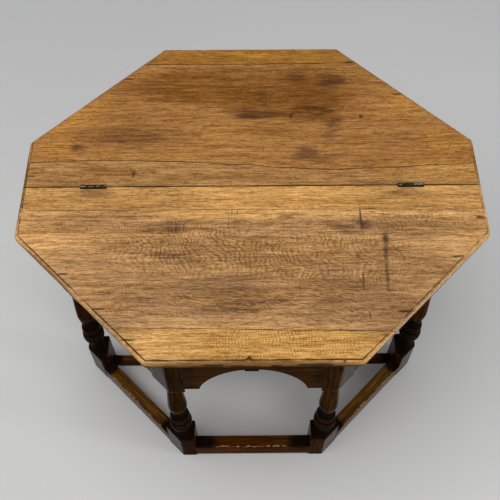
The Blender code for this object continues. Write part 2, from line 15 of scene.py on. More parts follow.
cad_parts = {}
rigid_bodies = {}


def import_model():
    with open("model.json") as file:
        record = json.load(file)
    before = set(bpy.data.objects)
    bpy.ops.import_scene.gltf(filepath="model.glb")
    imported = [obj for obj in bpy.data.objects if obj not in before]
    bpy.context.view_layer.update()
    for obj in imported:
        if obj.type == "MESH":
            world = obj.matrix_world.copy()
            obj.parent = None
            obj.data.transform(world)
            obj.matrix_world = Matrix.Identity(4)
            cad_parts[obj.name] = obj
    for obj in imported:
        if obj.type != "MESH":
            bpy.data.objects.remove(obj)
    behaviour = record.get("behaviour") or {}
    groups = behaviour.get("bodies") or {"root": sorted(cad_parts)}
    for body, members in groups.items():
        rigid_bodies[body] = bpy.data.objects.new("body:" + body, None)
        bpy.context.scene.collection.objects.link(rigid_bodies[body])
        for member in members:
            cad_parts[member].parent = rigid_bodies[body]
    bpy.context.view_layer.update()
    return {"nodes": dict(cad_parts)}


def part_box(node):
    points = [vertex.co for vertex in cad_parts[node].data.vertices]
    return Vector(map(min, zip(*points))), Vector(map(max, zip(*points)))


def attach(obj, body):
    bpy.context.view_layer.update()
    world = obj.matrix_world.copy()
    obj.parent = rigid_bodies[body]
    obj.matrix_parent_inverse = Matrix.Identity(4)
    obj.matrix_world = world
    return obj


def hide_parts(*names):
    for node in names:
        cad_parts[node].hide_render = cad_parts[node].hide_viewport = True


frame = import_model()

# The top
TABLE_HEIGHT = 0.711
UNDERSIDE = 0.693
TOP_HALF_LENGTH = 0.4595
TOP_HALF_DEPTH = 0.382
TOP_CANT = 0.2657
TOP_CORNER_RADIUS = 0.011
EDGE_STEP_INSET = 0.0073
NOSE_TOP = 0.7098
NOSE_WIDEST = 0.7045
NOSE_UNDERCUT = 0.0012
SEAM_GAP = 0.0003
HINGE_GAP = 0.0012

# The frame
FRAME_TOP = 0.6927
FRAME_FRONT = 0.330
FRAME_SIDE = 0.424
CANT_SUM = 0.50554
REAR_LINE = 0.08004
FIT = 0.0003

# Legs
LEG_FRONT_FACE = 0.034
LEG_CANTED_FACE = 0.052
LEG_DEPTH = 0.052
FRONT_LEG_AXIS = Vector((0.1698, -0.3035))
BOTTOM_BLOCK = 0.120
TOP_BLOCK = 0.434
BLOCK_SHOULDER = 0.008
FOOT_CHAMFER = 0.002
ARRIS_SHARPNESS = 46
ARRIS_KNOCK = 26
ARRIS_DENT = 0.0012
ARRIS_TURNS = (-0.07, -0.025, 0.0, 0.025, 0.07)
TURNED_UNEVEN = 0.00022

# Rails
FRIEZE_THICKNESS = 0.022
FRIEZE_BOTTOM = 0.458
FRIEZE_FOOT = 0.0307
BACK_FRIEZE_HEIGHT = 0.100
STRETCHER_LOW = 0.010
STRETCHER_HIGH = 0.066
STRETCHER_THICKNESS = 0.029
REAR_THICKNESS = 0.018
REAR_STRETCHER_LOW = 0.012
REAR_STRETCHER_HIGH = 0.044
RAIL_ARRIS = 0.0009

# The arch of a frieze; a fullness of 0.5 is an ellipse, and of 1 a parabola
ARCH_RISE = 0.101
ARCH_FULLNESS = 0.66

# Back post and gate
POST_HALF_WIDTH = 0.019
POST_DEPTH = 0.045
POST_TOP = 0.5924
STILE_FRONT = -0.05634
STILE_DEPTH = 0.032
GATE_LEG_HALF = 0.023
GATE_LEG_Y = 0.2437
GATE_TOP = 0.6925
GATE_LIFT = 0.012
GATE_RAIL_THICKNESS = 0.022
GATE_TOP_RAIL_HEIGHT = 0.050
GATE_BOTTOM_RAIL_LOW = 0.016
GATE_BOTTOM_RAIL_HIGH = 0.060

# Glue blocks; at the front and the back there are two, this far from the legs
GLUE_BLOCK_HALF = 0.030
GLUE_BLOCK_SIDE = 0.024
GLUE_BLOCK_STEPS = 12
BLOCK_FROM_LEG = {"front": 0.022, "back": 0.140}

SHARP_ANGLE = math.radians(38)
TURN_POINTS = 80
CORNER_STEPS = 6
NOSE_STEPS = 12
LOW_BLOCK_RINGS = 18
TOP_BLOCK_RINGS = 30
SHORT_EDGE_POINTS = 130
LONG_EDGE_POINTS = 400


# Uneven surfaces

def ripple(place, seed, pitch):
    """Smooth unevenness between about -1 and 1 along a piece; pitch is its length in metres."""
    return noise.noise(Vector((place / pitch, seed * 3.17, seed * 1.31)))


def smooth_step(value, low, high):
    share = min(1.0, max(0.0, (value - low) / (high - low)))
    return share * share * (3 - 2 * share)


# Making pieces from rings of points

def loft_faces(levels, count):
    """Faces over rings of equal count, closed at both ends."""
    faces = []
    for level in range(levels - 1):
        low = level * count
        for index in range(count):
            following = (index + 1) % count
            faces.append((low + index, low + following, low + count + following, low + count + index))
    faces.append(tuple(range(count)))
    faces.append(tuple(range((levels - 1) * count, levels * count)))
    return faces


def write_layer(data, name, kind, values):
    layer = data.attributes.new(name, kind, "POINT")
    if kind == "FLOAT":
        layer.data.foreach_set("value", values)
    else:
        layer.data.foreach_set("vector", [part for value in values for part in value])


def add_piece(name, points, faces, finish, body, nodes=()):
    """Link a new piece of closed shells, on its body and in place of the nodes that it stands for."""
    data = bpy.data.meshes.new(name)
    data.from_pydata(points, [], faces)
    mesh = bmesh.new()
    mesh.from_mesh(data)
    bmesh.ops.recalc_face_normals(mesh, faces=mesh.faces)
    mesh.to_mesh(data)
    mesh.free()
    data.shade_smooth()
    data.set_sharp_from_angle(angle=SHARP_ANGLE)
    data.materials.append(finish)
    piece = bpy.data.objects.new(name, data)
    bpy.context.scene.collection.objects.link(piece)
    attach(piece, body)
    if nodes:
        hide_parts(*nodes)
    return piece


def make_piece(name, rings, finish, nodes, body="frame", matrix=None, along=0, tint=(1.0, 1.0, 1.0)):
    """One piece from rings of (point, wear, grime with painted shade). Along is the axis that the grain runs
    in.
    """
    marks = [mark for ring in rings for mark in ring]
    place = matrix or Matrix.Identity(4)
    shift = Vector((len(name) * 0.37, len(bpy.data.objects) * 0.113, len(bpy.data.objects) * 0.071))
    piece = add_piece(name, [place @ mark[0] for mark in marks], loft_faces(len(rings), len(rings[0])),
                      finish, body, nodes)
    write_layer(piece.data, "wear", "FLOAT", [mark[1] for mark in marks])
    write_layer(piece.data, "grime_and_shade", "FLOAT", [mark[2] for mark in marks])
    turned = [Vector((m[0][along], m[0][(along + 1) % 3], m[0][(along + 2) % 3])) + shift for m in marks]
    write_layer(piece.data, "grain", "FLOAT_VECTOR", turned)
    write_layer(piece.data, "tint", "FLOAT_VECTOR", [tint] * len(marks))
    return piece


# The boards of the top

def octagon_sides(inset):
    """Outward normals and distances of the eight sides of the top."""
    root = math.sqrt(0.5)
    cant = (TOP_HALF_LENGTH + TOP_HALF_DEPTH - TOP_CANT) * root
    lengths = (TOP_HALF_DEPTH, cant, TOP_HALF_LENGTH, cant) * 2
    sides = []
    for index, length in enumerate(lengths):
        angle = math.radians(45 * index - 90)
        sides.append((Vector((math.cos(angle), math.sin(angle))), length - inset))
    return sides


def top_path(inset):
    """The outline of the top, counter-clockwise from the middle of the front, with rounded corners."""
    sides = octagon_sides(inset)
    radius = TOP_CORNER_RADIUS - inset
    points = [Vector((0.0, inset - TOP_HALF_DEPTH))]
    for index, (normal, distance) in enumerate(sides):
        ahead, ahead_distance = sides[(index + 1) % len(sides)]
        middle = (normal + ahead).normalized()
        turn = normal.dot(middle)
        cross = normal.x * ahead.y - normal.y * ahead.x
        corner = Vector((distance * ahead.y - ahead_distance * normal.y,
                         ahead_distance * normal.x - distance * ahead.x)) / cross
        centre = corner - middle * (radius / turn)
        for step in range(CORNER_STEPS + 1):
            angle = math.radians(45 * index - 90 + 45 * step / CORNER_STEPS)
            points.append(centre + Vector((math.cos(angle), math.sin(angle))) * radius)
    return points


def crossing(path, seam, side):
    """Where a seam leaves the outline on the right (1) or left (-1), as the index before it and the point."""
    for index, start in enumerate(path):
        end = path[(index + 1) % len(path)]
        if side * (start.x + end.x) <= 0:
            continue
        if (start.y - seam(start.x)) * (end.y - seam(end.x)) > 0:
            continue
        low, high = 0.0, 1.0
        rising = end.y - seam(end.x) > 0
        for _ in range(40):
            middle = (low + high) / 2
            point = start.lerp(end, middle)
            if (point.y - seam(point.x) > 0) == rising:
                high = middle
            else:
                low = middle
        return index, start.lerp(end, low)
    raise ValueError("a seam misses the outline of the top")


def edge_between(path, start, end, count):
    """Evenly spaced points along the outline from one crossing to another."""
    first, start_point = start
    last, end_point = end
    if last < first:
        last += len(path)
    points = [start_point] + [path[i % len(path)] for i in range(first + 1, last + 1)] + [end_point]
    reach = [0.0]
    for before, after in zip(points, points[1:]):
        reach.append(reach[-1] + (after - before).length)
    result = []
    index = 0
    for step in range(count):
        goal = reach[-1] * step / count
        while reach[index + 1] < goal:
            index += 1
        span = reach[index + 1] - reach[index]
        share = (goal - reach[index]) / span if span > 0 else 0.0
        result.append(points[index].lerp(points[index + 1], share))
    return result


class Seam:
    """A seam across the top: a smooth curve through a few points, how dark it has gone, and how far
    its fixed places reach from the middle, just short of the moulded edge."""

    def __init__(self, points, dirt, reach):
        self.points = points
        self.dirt = dirt
        self.reach = reach

    def at(self, x):
        """The seam's Y at a place along it."""
        if x <= self.points[0][0]:
            return self.points[0][1]
        for (x0, y0), (x1, y1) in zip(self.points, self.points[1:]):
            if x <= x1:
                return y0 + (y1 - y0) * smooth_step(x, x0, x1)
        return self.points[-1][1]


# Chips out of the moulded edge: place, half width, how deep, and the heights they take
EDGE_CHIPS = [
    ((-0.0092, -0.3747), 0.0082, 0.0074, (0.7094, 0.7112)),
    ((0.1590, -0.3790), 0.0030, 0.0046, (0.6990, 0.7112)),
    ((-0.0720, -0.3820), 0.0260, 0.0016, (0.6929, 0.7062)),
    ((-0.0300, -0.3820), 0.0180, 0.0010, (0.6929, 0.7040)),
    ((0.1080, -0.3820), 0.0460, 0.0016, (0.6929, 0.7060)),
    ((0.0400, -0.3820), 0.0160, 0.0010, (0.6929, 0.7040)),
    ((-0.185, 0.3820), 0.0060, 0.0016, (0.7050, 0.7112)),
    ((0.060, 0.3820), 0.0080, 0.0014, (0.7050, 0.7112)),
    ((0.4595, 0.060), 0.0060, 0.0012, (0.7050, 0.7112)),
    ((-0.4595, 0.028), 0.0030, 0.0016, (0.7050, 0.7112)),
]

# How dark the moulded edge is on each side, from the front counter-clockwise: dirt in the quirk, and painted
# shade with dirt on the nose's lower half and the underside
EDGE_DIRT_AND_SHADE = (1.00, 0.80, 0.60, 0.35, 0.50, 0.35, 0.85, 1.00)

# How far the step and the nose of the edge waver, in long and in short waves
STEP_WAVER = 0.0016
STEP_RAGGED = 0.0006
NOSE_WAVER = 0.00035
NOSE_RAGGED = 0.0002


def nearest_side(point, sides):
    return max(range(len(sides)), key=lambda index: sides[index][0].dot(point) - sides[index][1])


def worn_edge(point, normal, height, kind):
    """How far the moulded edge has worn in at a place, and how dirty it is there."""
    place = point.x - point.y * 0.71 if abs(normal.x) > 0.5 else point.x
    front = -normal.y if normal.y < -0.9 else 0.25
    worn = 0.0
    if kind == "step":
        worn += STEP_WAVER * front * ripple(place, 3, 0.031) + STEP_RAGGED * ripple(place, 5, 0.009)
    elif kind == "nose":
        worn += NOSE_WAVER * (1 + ripple(place, 7, 0.045)) + NOSE_RAGGED * ripple(place, 9, 0.008)
    grime_and_shade = 0.0
    for (x, y), half, depth, (low, high) in EDGE_CHIPS:
        gap = (Vector((x, y)) - point).length
        if gap < half and low <= height <= high:
            share = 1 - gap / half
            ragged = 0.7 + 0.6 * ripple(place, 11, 0.006)
            worn += depth * smooth_step(share, 0.0, 1.0) * ragged
            grime_and_shade = max(grime_and_shade, smooth_step(share, 0.0, 0.6))
    return worn, grime_and_shade


def nose_inset(height):
    if height < NOSE_WIDEST:
        share = (NOSE_WIDEST - height) / (NOSE_WIDEST - UNDERSIDE)
        depth = NOSE_UNDERCUT
    else:
        share = (height - NOSE_WIDEST) / (NOSE_TOP - NOSE_WIDEST)
        depth = EDGE_STEP_INSET
    return depth * (1 - math.sqrt(max(0.0, 1 - share * share)))


def middle_of(node):
    """The middle of a node of the frame."""
    low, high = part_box(node)
    return (low + high) / 2


# Butt hinges on the hinge line: the room cut for the knuckles and for the plates
HINGE_CENTRES = [middle_of(f"top_hinge_{side}_pin").x for side in ("left", "right")]
HINGE_HALF = 0.0263
KNUCKLE_ROOM = 0.0045
KNUCKLE_ROOM_LOW = 0.7069
PLATE_ROOM = 0.0025
PLATE_ROOM_LOW = 0.6961


def hinge_room(x, height):
    for centre in HINGE_CENTRES:
        if abs(x - centre) <= HINGE_HALF:
            if height > KNUCKLE_ROOM_LOW:
                return KNUCKLE_ROOM - HINGE_GAP / 2
            if height > PLATE_ROOM_LOW:
                return PLATE_ROOM - HINGE_GAP / 2
    return 0.0


def board_levels():
    """Heights of a board's rings from the bottom, with their inset, seam ease, kind, wear, and grime with
    painted shade.
    """
    heights = []
    for step in range(NOSE_STEPS + 1):
        rise = math.sin(math.radians(-90 + 180 * step / NOSE_STEPS))
        heights.append(NOSE_WIDEST + rise * (NOSE_TOP - NOSE_WIDEST if rise > 0 else NOSE_WIDEST - UNDERSIDE))
    for edge in (PLATE_ROOM_LOW, KNUCKLE_ROOM_LOW):
        heights += [edge - 0.00004, edge + 0.00004]
    levels = []
    for height in sorted(heights):
        ease = 0.0004 if height < UNDERSIDE + 0.0001 else 0.0
        crown = smooth_step(height, 0.700, 0.7070) * (1 - smooth_step(height, 0.7085, 0.7098))
        # Painted shade with dirt on the underside and the lower half of the nose; dirt in the quirk at the
        # top of the nose
        grime_and_shade = max(0.88 * (1 - smooth_step(height, 0.6975, 0.7060)), smooth_step(height, 0.7094, 0.7098))
        levels.append((height, nose_inset(height), ease, "nose", crown, grime_and_shade, 0.6))
    levels.append((NOSE_TOP, EDGE_STEP_INSET + 0.0002, 0.0, "step", 0.0, 1.0, 0.8))
    levels.append((TABLE_HEIGHT - 0.0003, EDGE_STEP_INSET + 0.0004, 0.0, "step", 0.1, 0.9, 1.0))
    levels.append((TABLE_HEIGHT, EDGE_STEP_INSET + 0.0007, 0.0001, "step", 0.0, 0.85, 1.0))
    levels.append((TABLE_HEIGHT, EDGE_STEP_INSET + 0.0015, 0.0020, "flat", 0.0, 0.0, 0.0))
    return levels


def seam_places(half, hinged):
    """Fixed places along a seam between its two ends."""
    count = int(2 * half / 0.012)
    places = [-half + 2 * half * step / count for step in range(count + 1)]
    if hinged:
        for centre in HINGE_CENTRES:
            for end in (centre - HINGE_HALF, centre + HINGE_HALF):
                places += [end - 0.00003, end + 0.00003]
    return sorted(places)


def make_board(name, node, body, low_seam, high_seam, tint, finish):
    """A board between two seams; None for a seam means that the board runs out to the moulded edge."""
    rings = []
    for height, inset, ease, kind, crown, edge_grime_and_shade, seam_grime in board_levels():
        path = top_path(inset)
        sides = octagon_sides(inset)
        seams = {}
        for which, seam, sign in (("low", low_seam, 1), ("high", high_seam, -1)):
            if seam is None:
                continue
            half_gap = (HINGE_GAP if seam is HINGE_LINE else SEAM_GAP) / 2
            offset = sign * (half_gap + ease)
            seams[which] = (lambda x, s=seam, o=offset: s.at(x) + o, seam, sign)
        ends = {which: [crossing(path, seams[which][0], side) for side in (-1, 1)] for which in seams}
        ring = []

        def add_edge(start, end, count):
            for point in edge_between(path, start, end, count):
                side = nearest_side(point, sides)
                normal = sides[side][0]
                worn, chipped = worn_edge(point, normal, height, kind)
                moved = point - normal * worn
                patchy = 0.85 + 0.80 * ripple(point.x + 2 * point.y, 13 + side, 0.04)
                grime_and_shade = max(edge_grime_and_shade * EDGE_DIRT_AND_SHADE[side] * min(1.0, max(0.0, patchy)), chipped)
                if kind == "flat":
                    grime_and_shade = 0.0
                ring.append((Vector((moved.x, moved.y, height)), crown * (1 - chipped), grime_and_shade))

        def add_seam(which):
            line, seam, sign = seams[which]
            hinged = seam is HINGE_LINE
            (_, left), (_, right) = ends[which]
            places = seam_places(seam.reach, hinged)
            run = [left] + [Vector((x, line(x))) for x in places] + [right]
            if which == "high":
                run.reverse()
            for point in run[:-1]:
                y = point.y
                if hinged:
                    y += sign * hinge_room(point.x, height)
                patchy = 1.0 + 0.7 * ripple(point.x, seam.dirt * 23, 0.05)
                ring.append((Vector((point.x, y, height)), 0.0, seam_grime * seam.dirt * min(1.0, patchy)))

        if "low" in seams and "high" in seams:
            add_seam("low")
            add_edge(ends["low"][1], ends["high"][1], SHORT_EDGE_POINTS)
            add_seam("high")
            add_edge(ends["high"][0], ends["low"][0], SHORT_EDGE_POINTS)
        elif "high" in seams:
            add_edge(ends["high"][0], ends["high"][1], LONG_EDGE_POINTS)
            add_seam("high")
        else:
            add_seam("low")
            add_edge(ends["low"][1], ends["low"][0], LONG_EDGE_POINTS)
        rings.append(ring)
    return make_piece(name, rings, finish, [node], body, tint=tint)


HINGE_LINE = Seam([(-1.0, 0.0), (1.0, 0.0)], 1.0, 0.445)
FRONT_SEAM = Seam([(-0.26, -0.3110), (-0.09, -0.3140), (0.08, -0.3180), (0.26, -0.3205)], 0.68, 0.238)
FIXED_SEAM = Seam([(-0.46, -0.0560), (0.0, -0.0566), (0.46, -0.0585)], 0.55, 0.445)
FOLDING_SEAM = Seam(
    [(-0.457, 0.0622), (-0.295, 0.0668), (-0.166, 0.0626), (-0.013, 0.0536), (0.058, 0.0455),
     (0.158, 0.0400), (0.275, 0.0440), (0.387, 0.0510), (0.457, 0.0540)], 0.95, 0.445)
BACK_SEAM = Seam([(-0.26, 0.3330), (0.0, 0.3322), (0.26, 0.3352)], 0.90, 0.222)

# The boards: name, node, body, front seam, back seam, tint
BOARDS = [
    ("top_front_board", "fixed_leaf_front_board", "frame",
     None, FRONT_SEAM, (0.93, 0.945, 1.00)),
    ("top_figured_board", "fixed_leaf_middle_board", "frame",
     FRONT_SEAM, FIXED_SEAM, (0.95, 0.970, 1.31)),
    ("top_hinge_board", "fixed_leaf_hinge_board", "frame",
     FIXED_SEAM, HINGE_LINE, (0.95, 0.945, 1.04)),
    ("leaf_hinge_board", "folding_leaf_hinge_board", "leaf",
     HINGE_LINE, FOLDING_SEAM, (0.62, 0.597, 0.73)),
    ("leaf_brown_board", "folding_leaf_middle_board", "leaf",
     FOLDING_SEAM, BACK_SEAM, (0.59, 0.512, 0.51)),
    ("leaf_back_board", "folding_leaf_back_board", "leaf",
     BACK_SEAM, None, (0.58, 0.500, 0.335)),
]


def make_top(finish):
    for name, node, body, front_seam, back_seam, tint in BOARDS:
        make_board(name, node, body, front_seam, back_seam, tint, finish)


# Turned legs

def bead(low, height, core, swell, steps=10):
    angles = [math.pi * step / steps for step in range(steps + 1)]
    return [(core + (swell - core) * math.sin(a), low + height * (1 - math.cos(a)) / 2) for a in angles]


def cove(low, height, start, waist, end, steps=10):
    points = []
    for step in range(steps + 1):
        share = step / steps
        chord = start + (end - start) * share
        points.append((chord - ((start + end) / 2 - waist) * math.sin(math.pi * share), low + height * share))
    return points


def barrel(low, height, start, swell, end, steps=20):
    """A long barrel, fullest near its foot and drawn in to a neck at the top."""
    points = []
    for step in range(steps + 1):
        share = step / steps
        chord = start + (end - start) * share
        fullness = math.sin(math.pi * share ** 0.32)
        points.append((chord + (swell - (start + end) / 2) * fullness, low + height * share))
    return points


def fillet(low, height, radius):
    return [(radius, low), (radius, low + height * 0.5), (radius, low + height)]


# The turning from the bottom block up: shape, height, radii and dirt, where the dirt is also painted shade
# darkening the rings under the top; the barrel takes what is left
LOWER_TURNING = [
    (cove, 0.056, (0.0215, 0.0160, 0.0225), 0.95),
    (bead, 0.034, (0.0215, 0.0265), 0.66),
    (fillet, 0.004, (0.0195,), 1.00),
    (bead, 0.028, (0.0195, 0.0228), 0.66),
    (fillet, 0.004, (0.0175,), 1.00),
    (cove, 0.034, (0.0185, 0.0152, 0.0185), 0.90),
    (bead, 0.012, (0.0175, 0.0200), 0.40),
]
UPPER_TURNING = [
    (fillet, 0.008, (0.0150,), 0.80),
    (bead, 0.014, (0.0150, 0.0185), 0.45),
    (fillet, 0.008, (0.0180,), 0.60),
]
BARREL_RADII = (0.0178, 0.0206, 0.0152)

# A place that stands this far over the mean of its neighbours is fully rubbed; on the frame this rubbed
# colour also stands for painted highlights on the rings and beads
FULLY_PROUD = 0.0022
NEIGHBOUR_REACH = 0.010


def turning():
    """Radius, height, wear, and grime with painted shade up the turned length of a leg."""
    used = sum(height for shape, height, radii, dirt in LOWER_TURNING + UPPER_TURNING)
    middle = [(barrel, TOP_BLOCK - BOTTOM_BLOCK - used, BARREL_RADII, 0.0)]
    points = []
    level = BOTTOM_BLOCK
    for shape, height, radii, dirt in LOWER_TURNING + middle + UPPER_TURNING:
        for radius, z in shape(level, height, *radii):
            if not points or abs(points[-1][0] - radius) + abs(points[-1][1] - z) > 0.0002:
                points.append((radius, z, dirt))
        level += height
    result = []
    for radius, z, dirt in points:
        near = [other for other, place, _ in points if abs(place - z) < NEIGHBOUR_REACH]
        proud = (radius - sum(near) / len(near)) / FULLY_PROUD
        result.append((radius, z, max(0.0, min(1.0, proud)), max(dirt, min(1.0, -proud * 1.3))))
    return result


def block_reach(sides, direction, inset, sharpness):
    """Distance from the turning axis to a block's face, and how near it is to an arris."""
    shares = []
    for normal, distance in sides:
        facing = normal.dot(direction)
        if facing > 0:
            shares.append(facing / (distance - inset))
    shares.sort(reverse=True)
    reach = sum(share ** sharpness for share in shares) ** (-1 / sharpness)
    return reach, smooth_step(shares[1] / shares[0], 0.90, 0.99) if len(shares) > 1 else 0.0


def block_sides(plan, axis):
    sides = []
    for index, corner in enumerate(plan):
        along = (plan[(index + 1) % len(plan)] - corner).normalized()
        normal = Vector((along.y, -along.x))
        sides.append((normal, normal.dot(corner - axis)))
    return sides


def make_leg(name, node, plan, axis, top, finish, body="frame", tint=(1.0, 1.0, 0.75)):
    """A leg in one run of rings: low block, turning, top block."""
    sides = block_sides(plan, axis)
    angles = [2 * math.pi * step / TURN_POINTS for step in range(TURN_POINTS)]
    for corner in plan:
        middle = math.atan2(corner.y - axis.y, corner.x - axis.x) % (2 * math.pi)
        angles += [(middle + turn) % (2 * math.pi) for turn in ARRIS_TURNS]
    angles = sorted(set(round(angle, 5) for angle in angles))
    directions = [Vector((math.cos(angle), math.sin(angle))) for angle in angles]
    seed = axis.x * 31 + axis.y * 17
    rings = []

    def add_block(height, inset, grime_and_shade):
        ring = []
        for angle, direction in zip(angles, directions):
            corner_seed = seed + round(angle * 1.2)
            knock = ripple(height, corner_seed, 0.030)
            reach, arris = block_reach(sides, direction, inset, ARRIS_SHARPNESS + ARRIS_KNOCK * knock)
            dent = ARRIS_DENT * arris * max(0.0, ripple(height, corner_seed + 40, 0.013) - 0.15)
            flat = direction * (reach - dent)
            point = Vector((axis.x + flat.x, axis.y + flat.y, height))
            ring.append((point, arris * (0.55 + 0.45 * knock), grime_and_shade))
        rings.append(ring)

    def add_turned(radius, height, wear, grime_and_shade):
        ring = []
        for direction in directions:
            around = Vector((direction.x * 2, direction.y * 2, height * 60 + seed))
            flat = direction * (radius + TURNED_UNEVEN * noise.noise(around))
            ring.append((Vector((axis.x + flat.x, axis.y + flat.y, height)), wear, grime_and_shade))
        rings.append(ring)

    def shoulder(level, direction):
        steps = [math.radians(18 * step) for step in range(6)]
        return [(level - direction * BLOCK_SHOULDER * (1 - math.sin(a)), BLOCK_SHOULDER * (1 - math.cos(a)))
                for a in steps][::direction]

    add_block(0.0, FOOT_CHAMFER, 0.9)
    add_block(FOOT_CHAMFER, 0.0, 0.7)
    straight = BOTTOM_BLOCK - BLOCK_SHOULDER - FOOT_CHAMFER
    for step in range(1, LOW_BLOCK_RINGS):
        add_block(FOOT_CHAMFER + straight * step / LOW_BLOCK_RINGS, 0.0, 0.5 * (1 - smooth_step(step, 0, 5)))
    for height, inset in shoulder(BOTTOM_BLOCK, 1):
        add_block(height, inset, smooth_step(inset, 0.0, 0.003))
    for radius, height, wear, grime_and_shade in turning():
        # Dirt and painted shade in the cove just above the low block
        low_dirt_and_shade = 0.9 * (1 - smooth_step(height, BOTTOM_BLOCK + 0.02, BOTTOM_BLOCK + 0.05))
        add_turned(radius, height, wear, max(grime_and_shade, low_dirt_and_shade))
    for height, inset in shoulder(TOP_BLOCK, -1):
        add_block(height, inset, 0.0)
    # The upper block darkens towards its top: painted shade under the table top
    straight = top - TOP_BLOCK - BLOCK_SHOULDER
    for step in range(1, TOP_BLOCK_RINGS + 1):
        height = TOP_BLOCK + BLOCK_SHOULDER + straight * step / TOP_BLOCK_RINGS
        add_block(height, 0.0, 0.6 * smooth_step(step, 22, TOP_BLOCK_RINGS))
    return make_piece(name, rings, finish, [node], body, along=2, tint=tint)


def right_front_plan():
    arris = Vector((CANT_SUM - FRAME_FRONT, -FRAME_FRONT))
    inner = Vector((arris.x - LEG_FRONT_FACE, arris.y))
    canted_end = arris + Vector((1, 1)) * (LEG_CANTED_FACE * math.sqrt(0.5))
    back = LEG_DEPTH - FRAME_FRONT
    step = back - canted_end.y
    return [inner, arris, canted_end, canted_end + Vector((-step, step)), Vector((inner.x, back))]


def across_cant(point):
    """From the right front leg to the right rear leg."""
    middle = FRAME_SIDE - FRAME_FRONT
    return Vector((middle - point.y, middle - point.x))


def to_left(point):
    return Vector((-point.x, point.y))


# Painted light and shade: the right legs are tinted lighter, as lit from the right, and the left legs darker
RIGHT_LEG_LIT_TINT = (1.40, 1.28, 0.85)
LEFT_LEG_SHADED_TINT = (0.92, 0.84, 0.60)


def make_legs(finish):
    plan = right_front_plan()
    rear = [across_cant(point) for point in reversed(plan)]
    for end, outline, axis in (("front", plan, FRONT_LEG_AXIS), ("rear", rear, across_cant(FRONT_LEG_AXIS))):
        make_leg(f"turned_leg_{end}_right", f"{end}_right_leg", outline, axis, FRAME_TOP, finish,
                 tint=RIGHT_LEG_LIT_TINT)
        mirrored = [to_left(point) for point in reversed(outline)]
        make_leg(f"turned_leg_{end}_left", f"{end}_left_leg", mirrored, to_left(axis), FRAME_TOP, finish,
                 tint=LEFT_LEG_SHADED_TINT)
    half = GATE_LEG_HALF
    corners = ((-half, -half), (half, -half), (half, half), (-half, half))
    square = [Vector((x, GATE_LEG_Y + y)) for x, y in corners]
    make_leg("turned_leg_gate", "gate_leg", square, Vector((0.0, GATE_LEG_Y)), GATE_TOP, finish, "gate")


# Rails, friezes, post and gate

def rail_matrix(start, end):
    """Local X along the rail, Y inwards, Z up, from the middle of its outer face."""
    along = (end - start).normalized()
    middle = (start + end) / 2
    return Matrix(((along.x, -along.y, 0, middle.x),
                   (along.y, along.x, 0, middle.y),
                   (0, 0, 1, 0),
                   (0, 0, 0, 1)))


UPRIGHT = Matrix(((0, 1, 0, 0), (0, 0, 1, 0), (1, 0, 0, 0), (0, 0, 0, 1)))


def rail_ring(x, depth, low, high, rounding, dish, end_shadow_and_grime, face_share):
    """Section of a rail at a place along it. Rounding holds the radii of its outer bottom, inner
    bottom, inner top and outer top arrises. Its faces get face_share of the painted shadow and dirt
    on its upper side."""
    def mark(y, z, worn):
        lower = smooth_step(high - z, 0.002, 0.014)
        return Vector((x, y, z)), worn, end_shadow_and_grime * (1 - lower * (1 - face_share))

    corners = ((0.0, low, 180), (depth, low, 270), (depth, high, 0), (0.0, high, 90))
    inward = ((1, 1), (-1, 1), (-1, -1), (1, -1))
    ring = []
    for (y, z, first), (in_y, in_z), radius in zip(corners, inward, rounding):
        centre_y = y + in_y * radius
        centre_z = z + in_z * radius
        for step in range(6):
            angle = math.radians(first + 18 * step)
            worn = 0.85 * math.sin(math.pi * (step + 0.5) / 6) * smooth_step(radius, 0.0008, 0.0030)
            ring.append(mark(centre_y + radius * math.cos(angle), centre_z + radius * math.sin(angle), worn))
        following = corners[(corners.index((y, z, first)) + 1) % 4]
        for share in (0.25, 0.5, 0.75):
            side_y = y + (following[0] - y) * share
            side_z = z + (following[1] - z) * share
            if first == 0:
                side_z -= dish * math.sin(math.pi * share)
            ring.append(mark(side_y, side_z, 0.0))
    return ring


def make_rail(name, node, matrix, half, depth, low, high, finish, wear=0.0, end_shadow_and_dirt=0.0, dark_reach=0.045,
              dark_faces=1.0, body="frame", places=None, seed=1.0, tint=(1.0, 1.0, 1.0)):
    """A bar whose outer upper arris has worn; low is a height or a function of the place along it.
    Its ends are darkened over dark_reach with painted shadow from the legs and with dirt, and its faces get
    dark_faces of that."""
    if places is None:
        count = max(6, int(2 * half / 0.004))
        places = [-half + 2 * half * step / count for step in range(count + 1)]
    rings = []
    for x in places:
        bottom = low(x) if callable(low) else low
        top = high + 0.0004 * ripple(x, seed + 2, 0.07) - FIT
        worn = RAIL_ARRIS
        if wear > 0:
            rough = 0.5 + 0.5 * ripple(x, seed, 0.045) + 0.5 * ripple(x, seed + 9, 0.012)
            worn += wear * max(0.0, rough) * smooth_step(half - abs(x), 0.0, 0.03)
        inner = RAIL_ARRIS + 0.35 * wear * max(0.0, 0.4 + ripple(x, seed + 4, 0.050))
        rounding = (RAIL_ARRIS, RAIL_ARRIS, inner, worn)
        # Painted shadow from the legs, with dirt, at the ends of the rail
        grime_and_shade = end_shadow_and_dirt * (1 - smooth_step(half - abs(x), 0.3 * dark_reach, dark_reach))
        rings.append(rail_ring(x, depth, bottom, top, rounding, wear * 0.25, grime_and_shade, dark_faces))
    return make_piece(name, rings, finish, [node], body, matrix, tint=tint)


# How the rails differ in colour
FRIEZE_TINT = (1.70, 1.58, 0.80)
STRETCHER_TINTS = {"front": (1.00, 0.74, 0.52), "right": (1.55, 1.70, 1.35), "left": (1.38, 1.50, 1.15)}


